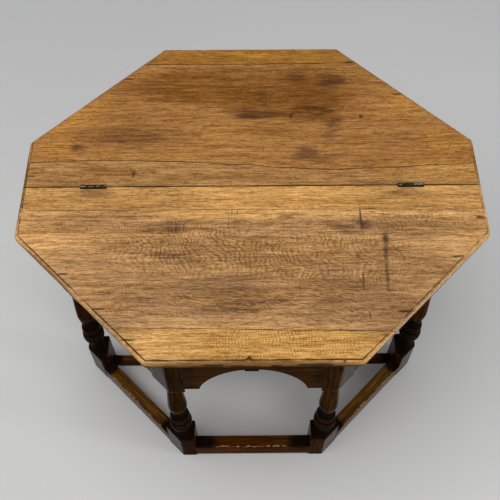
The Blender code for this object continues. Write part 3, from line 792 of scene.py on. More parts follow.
def frame_lines():
    plan = right_front_plan()
    inner, canted_end, back_corner = plan[0], plan[2], plan[4]
    rear_x = across_cant(back_corner).x
    rear_y = REAR_THICKNESS / 2 - REAR_LINE
    return {
        "front": (to_left(inner), inner),
        "right": (canted_end, across_cant(canted_end)),
        "back": (Vector((rear_x, rear_y)), Vector((-rear_x, rear_y))),
        "left": (to_left(across_cant(canted_end)), to_left(canted_end)),
    }


def arch_places(half):
    """Places along an arched frieze, close together where the arch springs."""
    reach = half - FRIEZE_FOOT
    places = [reach * math.cos(math.radians(180 * (1 - step / 60))) for step in range(61)]
    foot = [half - FRIEZE_FOOT * step / 8 for step in range(8)] + [reach + 0.00005]
    return sorted([-x for x in foot] + places + foot)


def make_frame_rails(frieze_finish, stretcher_finish):
    lines = frame_lines()
    for index, side in enumerate(("front", "right", "left")):
        matrix = rail_matrix(*lines[side])
        half = (lines[side][1] - lines[side][0]).length / 2 - FIT
        reach = half - FRIEZE_FOOT

        def arch(x, reach=reach):
            if abs(x) > reach:
                return FRIEZE_BOTTOM
            return FRIEZE_BOTTOM + ARCH_RISE * max(0.0, 1 - (x / reach) ** 2) ** ARCH_FULLNESS

        make_rail(f"arched_frieze_{side}", f"{side}_frieze", matrix, half, FRIEZE_THICKNESS, arch, FRAME_TOP,
                  frieze_finish, places=arch_places(half), end_shadow_and_dirt=0.5, tint=FRIEZE_TINT)
        make_rail(f"worn_stretcher_{side}", f"{side}_stretcher", matrix, half, STRETCHER_THICKNESS,
                  STRETCHER_LOW, STRETCHER_HIGH, stretcher_finish, wear=0.0046, end_shadow_and_dirt=1.0,
                  dark_faces=0.35, dark_reach=0.072 if side == "front" else 0.042,
                  seed=2.0 + index * 5, tint=STRETCHER_TINTS[side])
    matrix = rail_matrix(*lines["back"])
    half = (lines["back"][1] - lines["back"][0]).length / 2 - FIT
    make_rail("plain_frieze_back", "back_frieze", matrix, half, REAR_THICKNESS,
              FRAME_TOP - BACK_FRIEZE_HEIGHT, FRAME_TOP, frieze_finish)
    for side, node in ((1, "rear_stretcher_right"), (-1, "rear_stretcher_left")):
        near, far = POST_HALF_WIDTH, lines["back"][0].x
        ends = sorted((side * near, side * far), reverse=True)
        y = lines["back"][0].y
        matrix = rail_matrix(Vector((ends[0], y)), Vector((ends[1], y)))
        make_rail(f"worn_{node}", node, matrix, (far - near) / 2 - FIT, REAR_THICKNESS, REAR_STRETCHER_LOW,
                  REAR_STRETCHER_HIGH, stretcher_finish, wear=0.0025, end_shadow_and_dirt=1.0, dark_faces=0.35,
                  seed=31.0 + side)


def make_upright(name, node, x_half, y_low, y_high, low, high, finish, body):
    """A square post: local X runs up, Y across and Z to the back."""
    middle = (low + high) / 2
    matrix = Matrix.Translation((0, 0, middle)) @ UPRIGHT @ Matrix.Translation((0, -x_half, 0))
    half = (high - low) / 2
    count = 60
    rings = []
    for step in range(count + 1):
        x = -half + 2 * half * step / count
        radii = []
        for corner in range(4):
            radii.append(0.0010 + 0.0008 * max(0.0, ripple(x, 50 + corner + y_low * 100, 0.05)))
        # Painted shade under the table: darker towards the foot
        grime_and_shade = 0.9 * (1 - smooth_step(x + half, 0.0, 0.08))
        rings.append(rail_ring(x, 2 * x_half, y_low, y_high, radii, 0.0, grime_and_shade, 1.0))
    return make_piece(name, rings, finish, [node], body, matrix)


def make_gate(finish):
    post_half = POST_DEPTH / 2
    stile_back = STILE_FRONT + STILE_DEPTH
    make_upright("hanging_post", "back_post", POST_HALF_WIDTH, -REAR_LINE - post_half, -REAR_LINE + post_half,
                 0.0, POST_TOP, finish, "frame")
    make_upright("gate_hanging_stile", "gate_stile", POST_HALF_WIDTH, STILE_FRONT, stile_back,
                 GATE_LIFT, GATE_TOP, finish, "gate")
    start = Vector((GATE_RAIL_THICKNESS / 2, stile_back))
    end = Vector((GATE_RAIL_THICKNESS / 2, GATE_LEG_Y - GATE_LEG_HALF))
    half = (end - start).length / 2 - FIT
    for name, low, high in (("gate_top_rail", GATE_TOP - GATE_TOP_RAIL_HEIGHT, GATE_TOP),
                            ("gate_bottom_rail", GATE_BOTTOM_RAIL_LOW, GATE_BOTTOM_RAIL_HIGH)):
        make_rail(f"plain_{name}", name, rail_matrix(start, end), half, GATE_RAIL_THICKNESS, low, high,
                  finish, wear=0.001, body="gate", seed=low * 40)


def make_glue_blocks(finish):
    """Three-cornered blocks behind the friezes, with sawn and slightly crushed arrises."""
    for side, line in frame_lines().items():
        matrix = rail_matrix(*line)
        half = (line[1] - line[0]).length / 2 - FIT
        centres = (0.0,)
        if side in BLOCK_FROM_LEG:
            spread = half - BLOCK_FROM_LEG[side] - GLUE_BLOCK_HALF
            centres = (-spread, spread)
        face = (REAR_THICKNESS if side == "back" else FRIEZE_THICKNESS) + FIT
        for index, centre in enumerate(centres):
            rings = []
            for step in range(GLUE_BLOCK_STEPS + 1):
                x = centre - GLUE_BLOCK_HALF + 2 * GLUE_BLOCK_HALF * step / GLUE_BLOCK_STEPS
                ease = 0.0008 if step in (0, GLUE_BLOCK_STEPS) else 0.0
                size = GLUE_BLOCK_SIDE - 0.0006 * (1 + ripple(x, 71 + index, 0.02)) - ease
                low = FRAME_TOP - size
                corners = [(face + ease, FRAME_TOP - ease), (face + ease, low), (face + size * 0.1, low),
                           (face + size, FRAME_TOP - size * 0.1), (face + size, FRAME_TOP - ease)]
                rings.append([(Vector((x, y, z)), 0.2, 0.2) for y, z in corners])
            make_piece(f"rubbed_block_{side}_{index + 1}", rings, finish, [f"{side}_glue_block_{index + 1}"],
                       matrix=matrix)


# Slotted screws, three to each hinge plate
SCREW_PLACES = (-0.018, 0.0, 0.018)
SCREW_LEVEL = -0.00975
SCREW_RADIUS = 0.0026
SCREW_SLOT = 0.00035
SCREW_PROUD = 0.0002
SCREW_STEPS = 12
PLATE_FACE = 0.0006
HINGE_EASE = 0.0003
HINGE_EASE_ANGLE = math.radians(25)

# Rings of a head from the plate out: radius and height over the plate
SCREW_RINGS = (
    (SCREW_RADIUS, -0.0001),
    (SCREW_RADIUS, SCREW_PROUD / 2),
    (SCREW_RADIUS * 0.86, SCREW_PROUD),
)


def screw_half(along, turn, side):
    """Half of a slotted head, in the hinge's own axes: X on the pin, Y to the moving side and Z out
    to the knuckle."""
    rings = []
    for radius, proud in SCREW_RINGS:
        first = math.asin(SCREW_SLOT / radius)
        ring = []
        for step in range(SCREW_STEPS + 1):
            angle = turn + first + (math.pi - 2 * first) * step / SCREW_STEPS
            ring.append(Vector((along + radius * math.cos(angle), side * (PLATE_FACE - proud),
                                SCREW_LEVEL + radius * math.sin(angle))))
        rings.append(ring)
    return rings


def make_screws(name, matrix, side, body, finish):
    points, faces = [], []
    for index, along in enumerate(SCREW_PLACES):
        turn = 0.5 + 1.1 * index + 0.7 * side
        for half in (0.0, math.pi):
            rings = screw_half(along, turn + half, side)
            first = len(points)
            points += [matrix @ point for ring in rings for point in ring]
            for face in loft_faces(len(rings), len(rings[0])):
                faces.append(tuple(first + corner for corner in face))
    add_piece(name, points, faces, finish, body)


def make_hinges(finish):
    """The hinges of the frame get eased edges and screws."""
    for name, node in frame["nodes"].items():
        if "hinge" in name and "board" not in name:
            node.data.materials.clear()
            node.data.materials.append(finish)
            eased = node.modifiers.new("eased_edges", "BEVEL")
            eased.width = HINGE_EASE
            eased.segments = 2
            eased.angle_limit = HINGE_EASE_ANGLE
    level = Matrix.Identity(4)
    upright = Matrix(((0, 0, 1, 0), (0, 1, 0, 0), (-1, 0, 0, 0), (0, 0, 0, 1)))
    hinges = [("top_hinge_left", level, "leaf"), ("top_hinge_right", level, "leaf"),
              ("gate_hinge_lower", upright, "gate"), ("gate_hinge_upper", upright, "gate")]
    for hinge, turn, moving_body in hinges:
        matrix = Matrix.Translation(middle_of(f"{hinge}_pin")) @ turn
        make_screws(f"{hinge}_fixed_screws", matrix, -1, "frame", finish)
        make_screws(f"{hinge}_moving_screws", matrix, 1, moving_body, finish)


# Finishes

class Recipe:
    """Adds shader nodes to a material or a group and wires them up."""

    def __init__(self, tree):
        self.tree = tree

    def feed(self, socket, value):
        if isinstance(value, bpy.types.NodeSocket):
            self.tree.links.new(value, socket)
        elif value is not None:
            socket.default_value = value

    def add(self, kind, *values, **settings):
        node = self.tree.nodes.new("ShaderNode" + kind)
        for name, setting in settings.items():
            setattr(node, name, setting)
        for socket, value in zip(node.inputs, values):
            self.feed(socket, value)
        return node

    def math(self, operation, *values, clamp=False):
        return self.add("Math", *values, operation=operation, use_clamp=clamp).outputs[0]

    def times(self, first, second):
        return self.math("MULTIPLY", first, second)

    def swing(self, value, reach):
        """A value between 0 and 1 turned into one around 0."""
        return self.times(self.math("SUBTRACT", value, 0.5), reach)

    def weigh(self, values, shares):
        """The sum of named values, each times its share."""
        total = None
        for name, share in shares:
            part = self.times(values[name], share)
            total = part if total is None else self.math("ADD", total, part)
        return total

    def vector(self, operation, *values):
        return self.add("VectorMath", *values, operation=operation).outputs[0]

    def span(self, value, low, high, start=0.0, end=1.0):
        node = self.add("MapRange", value, low, high, start, end, interpolation_type="SMOOTHSTEP")
        return node.outputs[0]

    def mix(self, share, first, second, blend="MIX"):
        node = self.add("Mix", data_type="RGBA", blend_type=blend)
        for socket, value in zip((node.inputs[0], node.inputs[6], node.inputs[7]), (share, first, second)):
            self.feed(socket, value)
        return node.outputs[2]

    def stain(self, colour, mask, shade):
        """A colour darkened or lightened by a shade where the mask is."""
        return self.mix(mask, colour, (*shade, 1.0), "MULTIPLY")

    def paint(self, colour, mask, over):
        """A colour covered by another where the mask is."""
        return self.mix(mask, colour, (*over, 1.0))

    def noise(self, vector, stretch, detail=2.0, roughness=0.5):
        """Noise with its own count of features per metre along each axis."""
        scaled = self.vector("MULTIPLY", vector, stretch)
        node = self.add("TexNoise")
        self.feed(node.inputs["Vector"], scaled)
        self.feed(node.inputs["Scale"], 1.0)
        self.feed(node.inputs["Detail"], detail)
        self.feed(node.inputs["Roughness"], roughness)
        return node.outputs[0]

    def layer(self, name, output):
        return self.add("Attribute", attribute_name=name).outputs[output]

    def ramp(self, value, stops):
        node = self.add("ValToRGB", value)
        elements = node.color_ramp.elements
        while len(elements) < len(stops):
            elements.new(0.5)
        for element, (place, colour) in zip(elements, stops):
            element.position = place
            element.color = (*colour, 1.0)
        return node.outputs[0]

    def use(self, group, **values):
        node = self.tree.nodes.new("ShaderNodeGroup")
        node.node_tree = group
        for name, value in values.items():
            self.feed(node.inputs[name], value)
        return node


def start_group(name, inputs, outputs):
    group = bpy.data.node_groups.new(name, "ShaderNodeTree")
    for label, kind in inputs:
        group.interface.new_socket(name=label, in_out="INPUT", socket_type="NodeSocket" + kind)
    for label, kind in outputs:
        group.interface.new_socket(name=label, in_out="OUTPUT", socket_type="NodeSocket" + kind)
    source = group.nodes.new("NodeGroupInput")
    result = group.nodes.new("NodeGroupOutput")
    return group, Recipe(group), source.outputs, result.inputs


def make_oak_grain():
    """Streaks, fine lines, fibres and pores along the grain, and a broad mottling."""
    group, recipe, given, result = start_group(
        "oak_grain", [("Grain", "Vector")],
        [("Streak", "Float"), ("Line", "Float"), ("Fibre", "Float"), ("Pore", "Float"), ("Mottle", "Float")])
    bent = recipe.noise(given["Grain"], (3.0, 14.0, 14.0), 2.0, 0.5)
    sway = recipe.swing(bent, 0.030)
    shift = recipe.add("CombineXYZ", 0.0, sway, sway).outputs[0]
    grain = recipe.vector("ADD", given["Grain"], shift)
    for label, place, stretch, detail, roughness, low, high in (
            ("Streak", grain, (5.0, 150.0, 150.0), 4.0, 0.62, 0.30, 0.70),
            ("Line", grain, (26.0, 350.0, 350.0), 3.0, 0.65, 0.30, 0.70),
            ("Fibre", grain, (90.0, 640.0, 640.0), 2.0, 0.65, 0.30, 0.70),
            ("Pore", grain, (110.0, 700.0, 700.0), 1.0, 0.5, 0.59, 0.66),
            ("Mottle", given["Grain"], (9.0, 26.0, 26.0), 3.0, 0.55, 0.35, 0.65)):
        recipe.feed(result[label], recipe.span(recipe.noise(place, stretch, detail, roughness), low, high))
    return group


def make_ray_fleck():
    """Wavy figure that crosses the grain of oak sawn on the quarter."""
    group, recipe, given, result = start_group(
        "ray_fleck", [("Grain", "Vector"), ("Across", "Float"), ("Lean", "Float")],
        [("Fleck", "Float"), ("Share", "Float")])
    swirl = recipe.noise(given["Grain"], (9.0, 20.0, 9.0), 2.0, 0.55)
    curl = recipe.noise(given["Grain"], (38.0, 70.0, 38.0), 2.0, 0.5)
    parts = recipe.add("SeparateXYZ", given["Grain"]).outputs
    crossways = recipe.times(parts[0], given["Across"])
    straight = recipe.math("ADD", crossways, recipe.times(parts[1], given["Lean"]))
    bent = recipe.math("ADD", recipe.times(swirl, 52.0), recipe.times(curl, 13.0))
    wave = recipe.math("SINE", recipe.math("ADD", straight, bent))
    broken = recipe.noise(given["Grain"], (60.0, 150.0, 60.0), 2.0, 0.6)
    recipe.feed(result["Share"], recipe.span(broken, 0.34, 0.58))
    recipe.feed(result["Fleck"], recipe.span(wave, -0.85, 0.45))
    return group


def make_mark():
    """A soft-edged oval mark at a place on the top."""
    group, recipe, given, result = start_group(
        "mark",
        [("Place", "Vector"), ("Centre", "Vector"), ("Size", "Vector"), ("Turn", "Float"), ("Core", "Float")],
        [("Mask", "Float")])
    offset = recipe.vector("SUBTRACT", given["Place"], given["Centre"])
    turned = recipe.add("VectorRotate", offset, rotation_type="Z_AXIS")
    recipe.feed(turned.inputs["Angle"], given["Turn"])
    scaled = recipe.vector("DIVIDE", turned.outputs[0], given["Size"])
    reach = recipe.add("VectorMath", scaled, operation="LENGTH").outputs["Value"]
    recipe.feed(result["Mask"], recipe.span(reach, 1.0, given["Core"]))
    return group


def make_wear():
    """Where arrises are rubbed pale, which on the frame's turnings also stands for painted highlights, and
    where dirt and painted shade lie.
    """
    group, recipe, given, result = start_group(
        "arris_wear", [("Grain", "Vector")], [("Rubbed", "Float"), ("DirtAndShade", "Float")])
    rough = recipe.noise(given["Grain"], (120.0, 260.0, 260.0), 3.0, 0.6)
    broad = recipe.noise(given["Grain"], (14.0, 40.0, 40.0), 2.0, 0.5)
    wear = recipe.layer("wear", "Fac")
    grime_and_shade = recipe.layer("grime_and_shade", "Fac")
    rubbed = recipe.span(recipe.math("ADD", wear, recipe.swing(rough, 4.0)), 0.55, 0.95)
    # Dirt and painted shade together, as the grime attribute holds both
    dirt = recipe.span(recipe.math("ADD", grime_and_shade, recipe.swing(broad, 0.7)), 0.15, 0.85)
    recipe.feed(result["Rubbed"], recipe.times(rubbed, recipe.span(wear, 0.0, 0.25)))
    recipe.feed(result["DirtAndShade"], recipe.times(dirt, recipe.span(grime_and_shade, 0.0, 0.2)))
    return group


GRAIN = make_oak_grain()
FLECK = make_ray_fleck()
MARK = make_mark()
WEAR = make_wear()


def start_material(name):
    material = bpy.data.materials.new(name)
    material.use_nodes = True
    recipe = Recipe(material.node_tree)
    return material, recipe, material.node_tree.nodes["Principled BSDF"]


def add_bump(recipe, shader, height, strength, distance):
    bump = recipe.add("Bump")
    recipe.feed(bump.inputs["Strength"], strength)
    recipe.feed(bump.inputs["Distance"], distance)
    recipe.feed(bump.inputs["Height"], height)
    recipe.feed(shader.inputs["Normal"], bump.outputs[0])


# Soft brown clouds on the folding leaf: place, half sizes, turn in degrees, core, strength
LEAF_CLOUDS = [
    ((-0.100, 0.265), (0.230, 0.080), 0, 0.3, 0.85),
    ((0.080, 0.240), (0.200, 0.110), 0, 0.3, 0.80),
    ((0.120, 0.205), (0.100, 0.070), 0, 0.2, 0.90),
    ((-0.040, 0.225), (0.300, 0.030), 2, 0.1, 0.70),
    ((0.020, 0.140), (0.120, 0.022), 0, 0.0, 0.50),
    ((-0.300, 0.040), (0.130, 0.022), 0, 0.0, 0.50),
    ((0.000, 0.026), (0.300, 0.016), 0, 0.0, 0.35),
    ((0.300, 0.028), (0.120, 0.022), 0, 0.0, 0.25),
]

# Purplish brown blotches
BLOTCHES = [
    ((0.172, 0.278), (0.042, 0.030), 0, 0.3, 1.00),
    ((0.096, 0.292), (0.045, 0.026), 0, 0.1, 0.70),
    ((0.131, 0.200), (0.060, 0.020), 0, 0.1, 0.85),
    ((0.168, 0.150), (0.028, 0.060), 10, 0.0, 0.80),
    ((0.112, 0.083), (0.050, 0.024), -10, 0.3, 1.00),
    ((0.150, 0.072), (0.070, 0.018), -8, 0.0, 0.70),
    ((0.020, 0.184), (0.080, 0.015), 0, 0.3, 1.00),
    ((-0.010, 0.198), (0.050, 0.018), 0, 0.0, 0.60),
    ((0.032, 0.222), (0.016, 0.030), 0, 0.0, 0.55),
    ((-0.250, 0.127), (0.165, 0.042), 2, 0.1, 0.62),
    ((-0.290, 0.113), (0.070, 0.022), 0, 0.0, 0.62),
    ((-0.362, 0.098), (0.028, 0.022), 30, 0.0, 0.90),
    ((-0.318, -0.012), (0.060, 0.022), 0, 0.0, 0.85),
    ((0.300, -0.014), (0.075, 0.022), 0, 0.0, 0.75),
    ((-0.145, -0.098), (0.048, 0.020), 0, 0.2, 0.60),
    ((0.175, -0.103), (0.050, 0.018), 20, 0.1, 0.75),
    ((0.215, -0.093), (0.026, 0.026), 0, 0.0, 0.85),
    ((-0.160, -0.166), (0.090, 0.012), 0, 0.1, 0.75),
    ((-0.060, -0.225), (0.130, 0.034), -6, 0.1, 0.35),
    ((-0.040, -0.270), (0.150, 0.020), -4, 0.1, 0.60),
    ((0.160, -0.262), (0.100, 0.018), -4, 0.0, 0.60),
    ((0.235, -0.262), (0.120, 0.045), 28, 0.2, 0.22),
]

# Brown clouds on the fixed leaf
FIXED_CLOUDS = [
    ((0.000, -0.205), (0.520, 0.135), 0, 0.60, 0.72),
    ((-0.060, -0.240), (0.220, 0.085), -3, 0.2, 1.00),
    ((0.170, -0.230), (0.240, 0.085), 6, 0.2, 0.88),
    ((-0.060, -0.096), (0.380, 0.026), 0, 0.4, 0.78),
    ((0.270, -0.100), (0.240, 0.040), 0, 0.3, 0.75),
    ((-0.300, -0.084), (0.200, 0.044), 0, 0.3, 0.60),
    ((-0.215, -0.270), (0.200, 0.072), -25, 0.3, 0.95),
    ((0.205, -0.262), (0.220, 0.090), 25, 0.4, 1.00),
    ((0.145, -0.290), (0.130, 0.030), 0, 0.5, 1.00),
    ((-0.300, -0.028), (0.260, 0.045), 0, 0.6, 0.42),
    ((0.330, -0.028), (0.190, 0.045), 0, 0.6, 0.28),
]

# Paler golden patches
GOLD_PATCHES = [
    ((-0.370, 0.178), (0.120, 0.050), -40, 0.2, 1.00),
    ((-0.060, 0.128), (0.090, 0.034), 0, 0.1, 0.22),
    ((0.330, 0.215), (0.100, 0.070), -35, 0.1, 0.70),
    ((-0.090, -0.073), (0.210, 0.011), 0, 0.2, 0.90),
    ((0.000, 0.356), (0.200, 0.020), 0, 0.2, 0.60),
    ((0.090, -0.145), (0.150, 0.034), 0, 0.2, 0.45),
    ((0.400, 0.028), (0.110, 0.045), 0, 0.4, 1.00),
    ((0.290, 0.026), (0.120, 0.030), 0, 0.2, 0.40),
    ((0.405, 0.105), (0.080, 0.055), 0, 0.3, 0.80),
    ((-0.405, 0.100), (0.070, 0.045), 0, 0.3, 0.50),
]

# Parts of the edge darkened by hands, and by painted shade on the sides and lower halves of the noses
SHADED_AND_HANDLED_EDGES = [
    ((0.000, -0.3815), (0.240, 0.0070), 0, 0.6, 1.00),
    ((0.000, -0.3735), (0.225, 0.0120), 0, 0.2, 0.42),
    ((-0.4595, 0.000), (0.0075, 0.125), 0, 0.6, 1.00),
    ((0.4595, 0.055), (0.0070, 0.070), 0, 0.6, 0.75),
    ((-0.390, -0.187), (0.095, 0.0065), 45, 0.6, 0.75),
    ((0.327, -0.250), (0.185, 0.0060), -45, 0.6, 0.30),
    ((-0.327, 0.250), (0.185, 0.0055), -45, 0.6, 0.35),
    ((0.327, 0.250), (0.185, 0.0055), 45, 0.6, 0.45),
    ((0.000, 0.3822), (0.205, 0.0060), 0, 0.6, 0.45),
]

# Parts where the rays show as swirling, slanting or short upright lines
SWIRLED = [
    ((-0.100, -0.150), (0.250, 0.075), 0, 0.4, 0.95),
    ((0.120, -0.165), (0.260, 0.085), 0, 0.4, 0.85),
    ((0.300, -0.088), (0.200, 0.036), 0, 0.3, 0.60),
]
SLANTED = [
    ((0.150, -0.285), (0.130, 0.035), 0, 0.3, 0.55),
    ((-0.230, -0.285), (0.060, 0.035), 0, 0.3, 0.55),
    ((0.020, -0.252), (0.340, 0.060), 0, 0.3, 0.90),
]
HATCHED = [
    ((-0.250, -0.250), (0.170, 0.060), -30, 0.2, 0.50),
    ((0.250, -0.245), (0.170, 0.070), 30, 0.2, 0.50),
    ((-0.140, -0.098), (0.100, 0.024), 0, 0.3, 0.95),
    ((-0.260, -0.090), (0.190, 0.034), 0, 0.2, 0.55),
    ((0.250, -0.095), (0.200, 0.034), 0, 0.2, 0.45),
    ((0.040, -0.346), (0.220, 0.044), 0, 0.4, 0.80),
    ((0.280, 0.024), (0.150, 0.028), 0, 0.4, 0.70),
    ((-0.390, 0.028), (0.120, 0.028), 0, 0.3, 0.50),
    ((0.200, 0.275), (0.110, 0.050), 0, 0.2, 0.50),
    ((0.010, 0.075), (0.050, 0.036), 0, 0.2, 0.45),
]

# Small dark marks: place, half sizes, turn in degrees, core, strength
SPOTS = [
    ((-0.3630, 0.0970), (0.0100, 0.0150), 20, 0.0, 0.55),
    ((-0.2660, 0.1140), (0.0160, 0.0060), 0, 0.0, 0.40),
    ((0.0050, 0.1795), (0.0600, 0.0052), 0, 0.1, 0.62),
    ((0.1150, 0.1800), (0.0700, 0.0026), 0, 0.2, 0.45),
    ((0.0320, 0.2250), (0.0045, 0.0200), 4, 0.1, 0.35),
    ((0.0840, 0.1820), (0.0068, 0.0130), 12, 0.2, 0.80),
    ((0.0890, 0.1870), (0.0050, 0.0060), 0, 0.2, 0.75),
    ((0.2320, 0.1790), (0.0070, 0.0080), 0, 0.2, 0.80),
    ((0.1720, 0.2790), (0.0140, 0.0080), 0, 0.0, 0.35),
    ((0.0235, 0.0940), (0.0015, 0.0100), 3, 0.3, 0.65),
    ((-0.2390, 0.0320), (0.0052, 0.0160), 8, 0.2, 0.78),
    ((-0.2440, 0.0400), (0.0020, 0.0120), -6, 0.2, 0.55),
    ((-0.2350, 0.2632), (0.0500, 0.0020), 1, 0.3, 0.45),
    ((-0.2350, 0.2840), (0.0450, 0.0020), 0, 0.3, 0.45),
    ((-0.1400, 0.1812), (0.1200, 0.0017), 0, 0.4, 0.40),
    ((0.0000, 0.2630), (0.1500, 0.0017), 0, 0.4, 0.40),
    ((0.0300, 0.3120), (0.1200, 0.0017), 0, 0.4, 0.35),
    ((0.2500, 0.1075), (0.1000, 0.0014), -2, 0.4, 0.50),
    ((0.3850, 0.1110), (0.0450, 0.0014), -4, 0.4, 0.50),
    ((0.3000, 0.0885), (0.1000, 0.0014), 2, 0.4, 0.40),
    ((0.4080, 0.0960), (0.0014, 0.0150), 24, 0.3, 0.40),
    ((0.2106, -0.0800), (0.0027, 0.0400), 0, 0.4, 0.80),
    ((0.2125, -0.0980), (0.0070, 0.0160), 0, 0.0, 0.55),
    ((0.2547, -0.1270), (0.0110, 0.0210), 3, 0.2, 0.82),
    ((0.2520, -0.1600), (0.0070, 0.0420), 2, 0.2, 0.66),
    ((0.2500, -0.2050), (0.0060, 0.0500), 3, 0.2, 0.64),
    ((0.2440, -0.1770), (0.0160, 0.0040), 8, 0.1, 0.50),
    ((0.2047, -0.2160), (0.0027, 0.0230), 2, 0.3, 0.68),
    ((0.2030, -0.2300), (0.0055, 0.0080), 0, 0.1, 0.62),
    ((0.2106, -0.2900), (0.0022, 0.0125), -8, 0.3, 0.70),
    ((-0.0470, -0.0800), (0.0014, 0.0300), 0, 0.4, 0.38),
    ((-0.0410, -0.0650), (0.0024, 0.0120), 6, 0.2, 0.55),
    ((-0.0355, -0.0690), (0.0020, 0.0090), -4, 0.2, 0.45),
    ((-0.0305, -0.0645), (0.0026, 0.0115), 5, 0.2, 0.58),
    ((-0.1620, -0.0980), (0.0020, 0.0180), 0, 0.2, 0.45),
    ((-0.1480, -0.1010), (0.0024, 0.0150), 3, 0.2, 0.50),
    ((-0.1330, -0.1000), (0.0020, 0.0150), -2, 0.2, 0.45),
    ((-0.1500, -0.1658), (0.0700, 0.0028), 0, 0.3, 0.52),
    ((-0.0620, -0.1658), (0.0200, 0.0018), 0, 0.2, 0.45),
    ((0.0890, -0.0700), (0.0016, 0.0050), 25, 0.2, 0.65),
    ((0.4400, -0.0760), (0.0080, 0.0040), 0, 0.1, 0.50),
]

# Cracks that run in from the edge along the grain: outer end, inner end
CRACKS = [
    ((-0.3700, -0.1990), (-0.3420, -0.1996)), ((-0.3000, -0.2722), (-0.2640, -0.2732)),
    ((-0.2450, -0.3338), (-0.2060, -0.3354)), ((0.4030, -0.1658), (0.3720, -0.1670)),
    ((0.2920, -0.2810), (0.2560, -0.2822)), ((0.4560, -0.0780), (0.4320, -0.0788)),
    ((0.2340, 0.3374), (0.2030, 0.3364)), ((-0.2820, 0.2903), (-0.2530, 0.2897)),
    ((0.3300, 0.2421), (0.2980, 0.2412)), ((-0.4590, 0.0284), (-0.4300, 0.0278)),
]
CRACK_HALF_WIDTH = 0.0022


# Colours of the top, of which the shades multiply what lies under them
TOP_TONES = [(0.0, (0.150, 0.062, 0.013)), (0.28, (0.390, 0.188, 0.046)),
             (0.60, (0.650, 0.350, 0.098)), (1.0, (0.900, 0.540, 0.180))]
BROAD_SHADE = (0.68, 0.61, 0.52)
CLOUD_SHADES = [
    (LEAF_CLOUDS, (0.58, 0.48, 0.26)),
    (FIXED_CLOUDS, (0.57, 0.560, 0.62)),
    (BLOTCHES, (0.48, 0.44, 0.54)),
    (GOLD_PATCHES, (1.26, 1.27, 1.08)),
]
DARK_RAY_SHADE = (0.62, 0.58, 0.54)
PALE_RAY_SHADE = (1.14, 1.14, 1.08)
TOP_PORE_SHADE = (0.36, 0.29, 0.24)
SPECK_SHADE = (0.20, 0.14, 0.10)
EDGE_SHADE_AND_HANDLING = (0.43, 0.38, 0.29)
SPOT_COLOUR = (0.030, 0.018, 0.014)
CRACK_COLOUR = (0.018, 0.010, 0.006)
RUBBED_EDGE_COLOUR = (0.46, 0.26, 0.085)
TOP_DIRT_AND_SHADE_COLOUR = (0.030, 0.016, 0.008)


def crack_marks():
    """The cracks as long thin marks."""
    marks = []
    for (x0, y0), (x1, y1) in CRACKS:
        half = math.hypot(x1 - x0, y1 - y0) / 2
        turn = math.degrees(-math.atan2(y1 - y0, x1 - x0))
        marks.append((((x0 + x1) / 2, (y0 + y1) / 2), (half, CRACK_HALF_WIDTH), turn, 0.5, 1.0))
    return marks


def gather(recipe, place, marks):
    """The strongest of several marks at each place on the top."""
    result = None
    for centre, size, turn, core, strength in marks:
        node = recipe.use(MARK, Place=place, Centre=(*centre, 0.0), Size=(*size, 1.0),
                          Turn=math.radians(turn), Core=core)
        mask = recipe.times(node.outputs[0], strength)
        result = mask if result is None else recipe.math("MAXIMUM", result, mask)
    return result


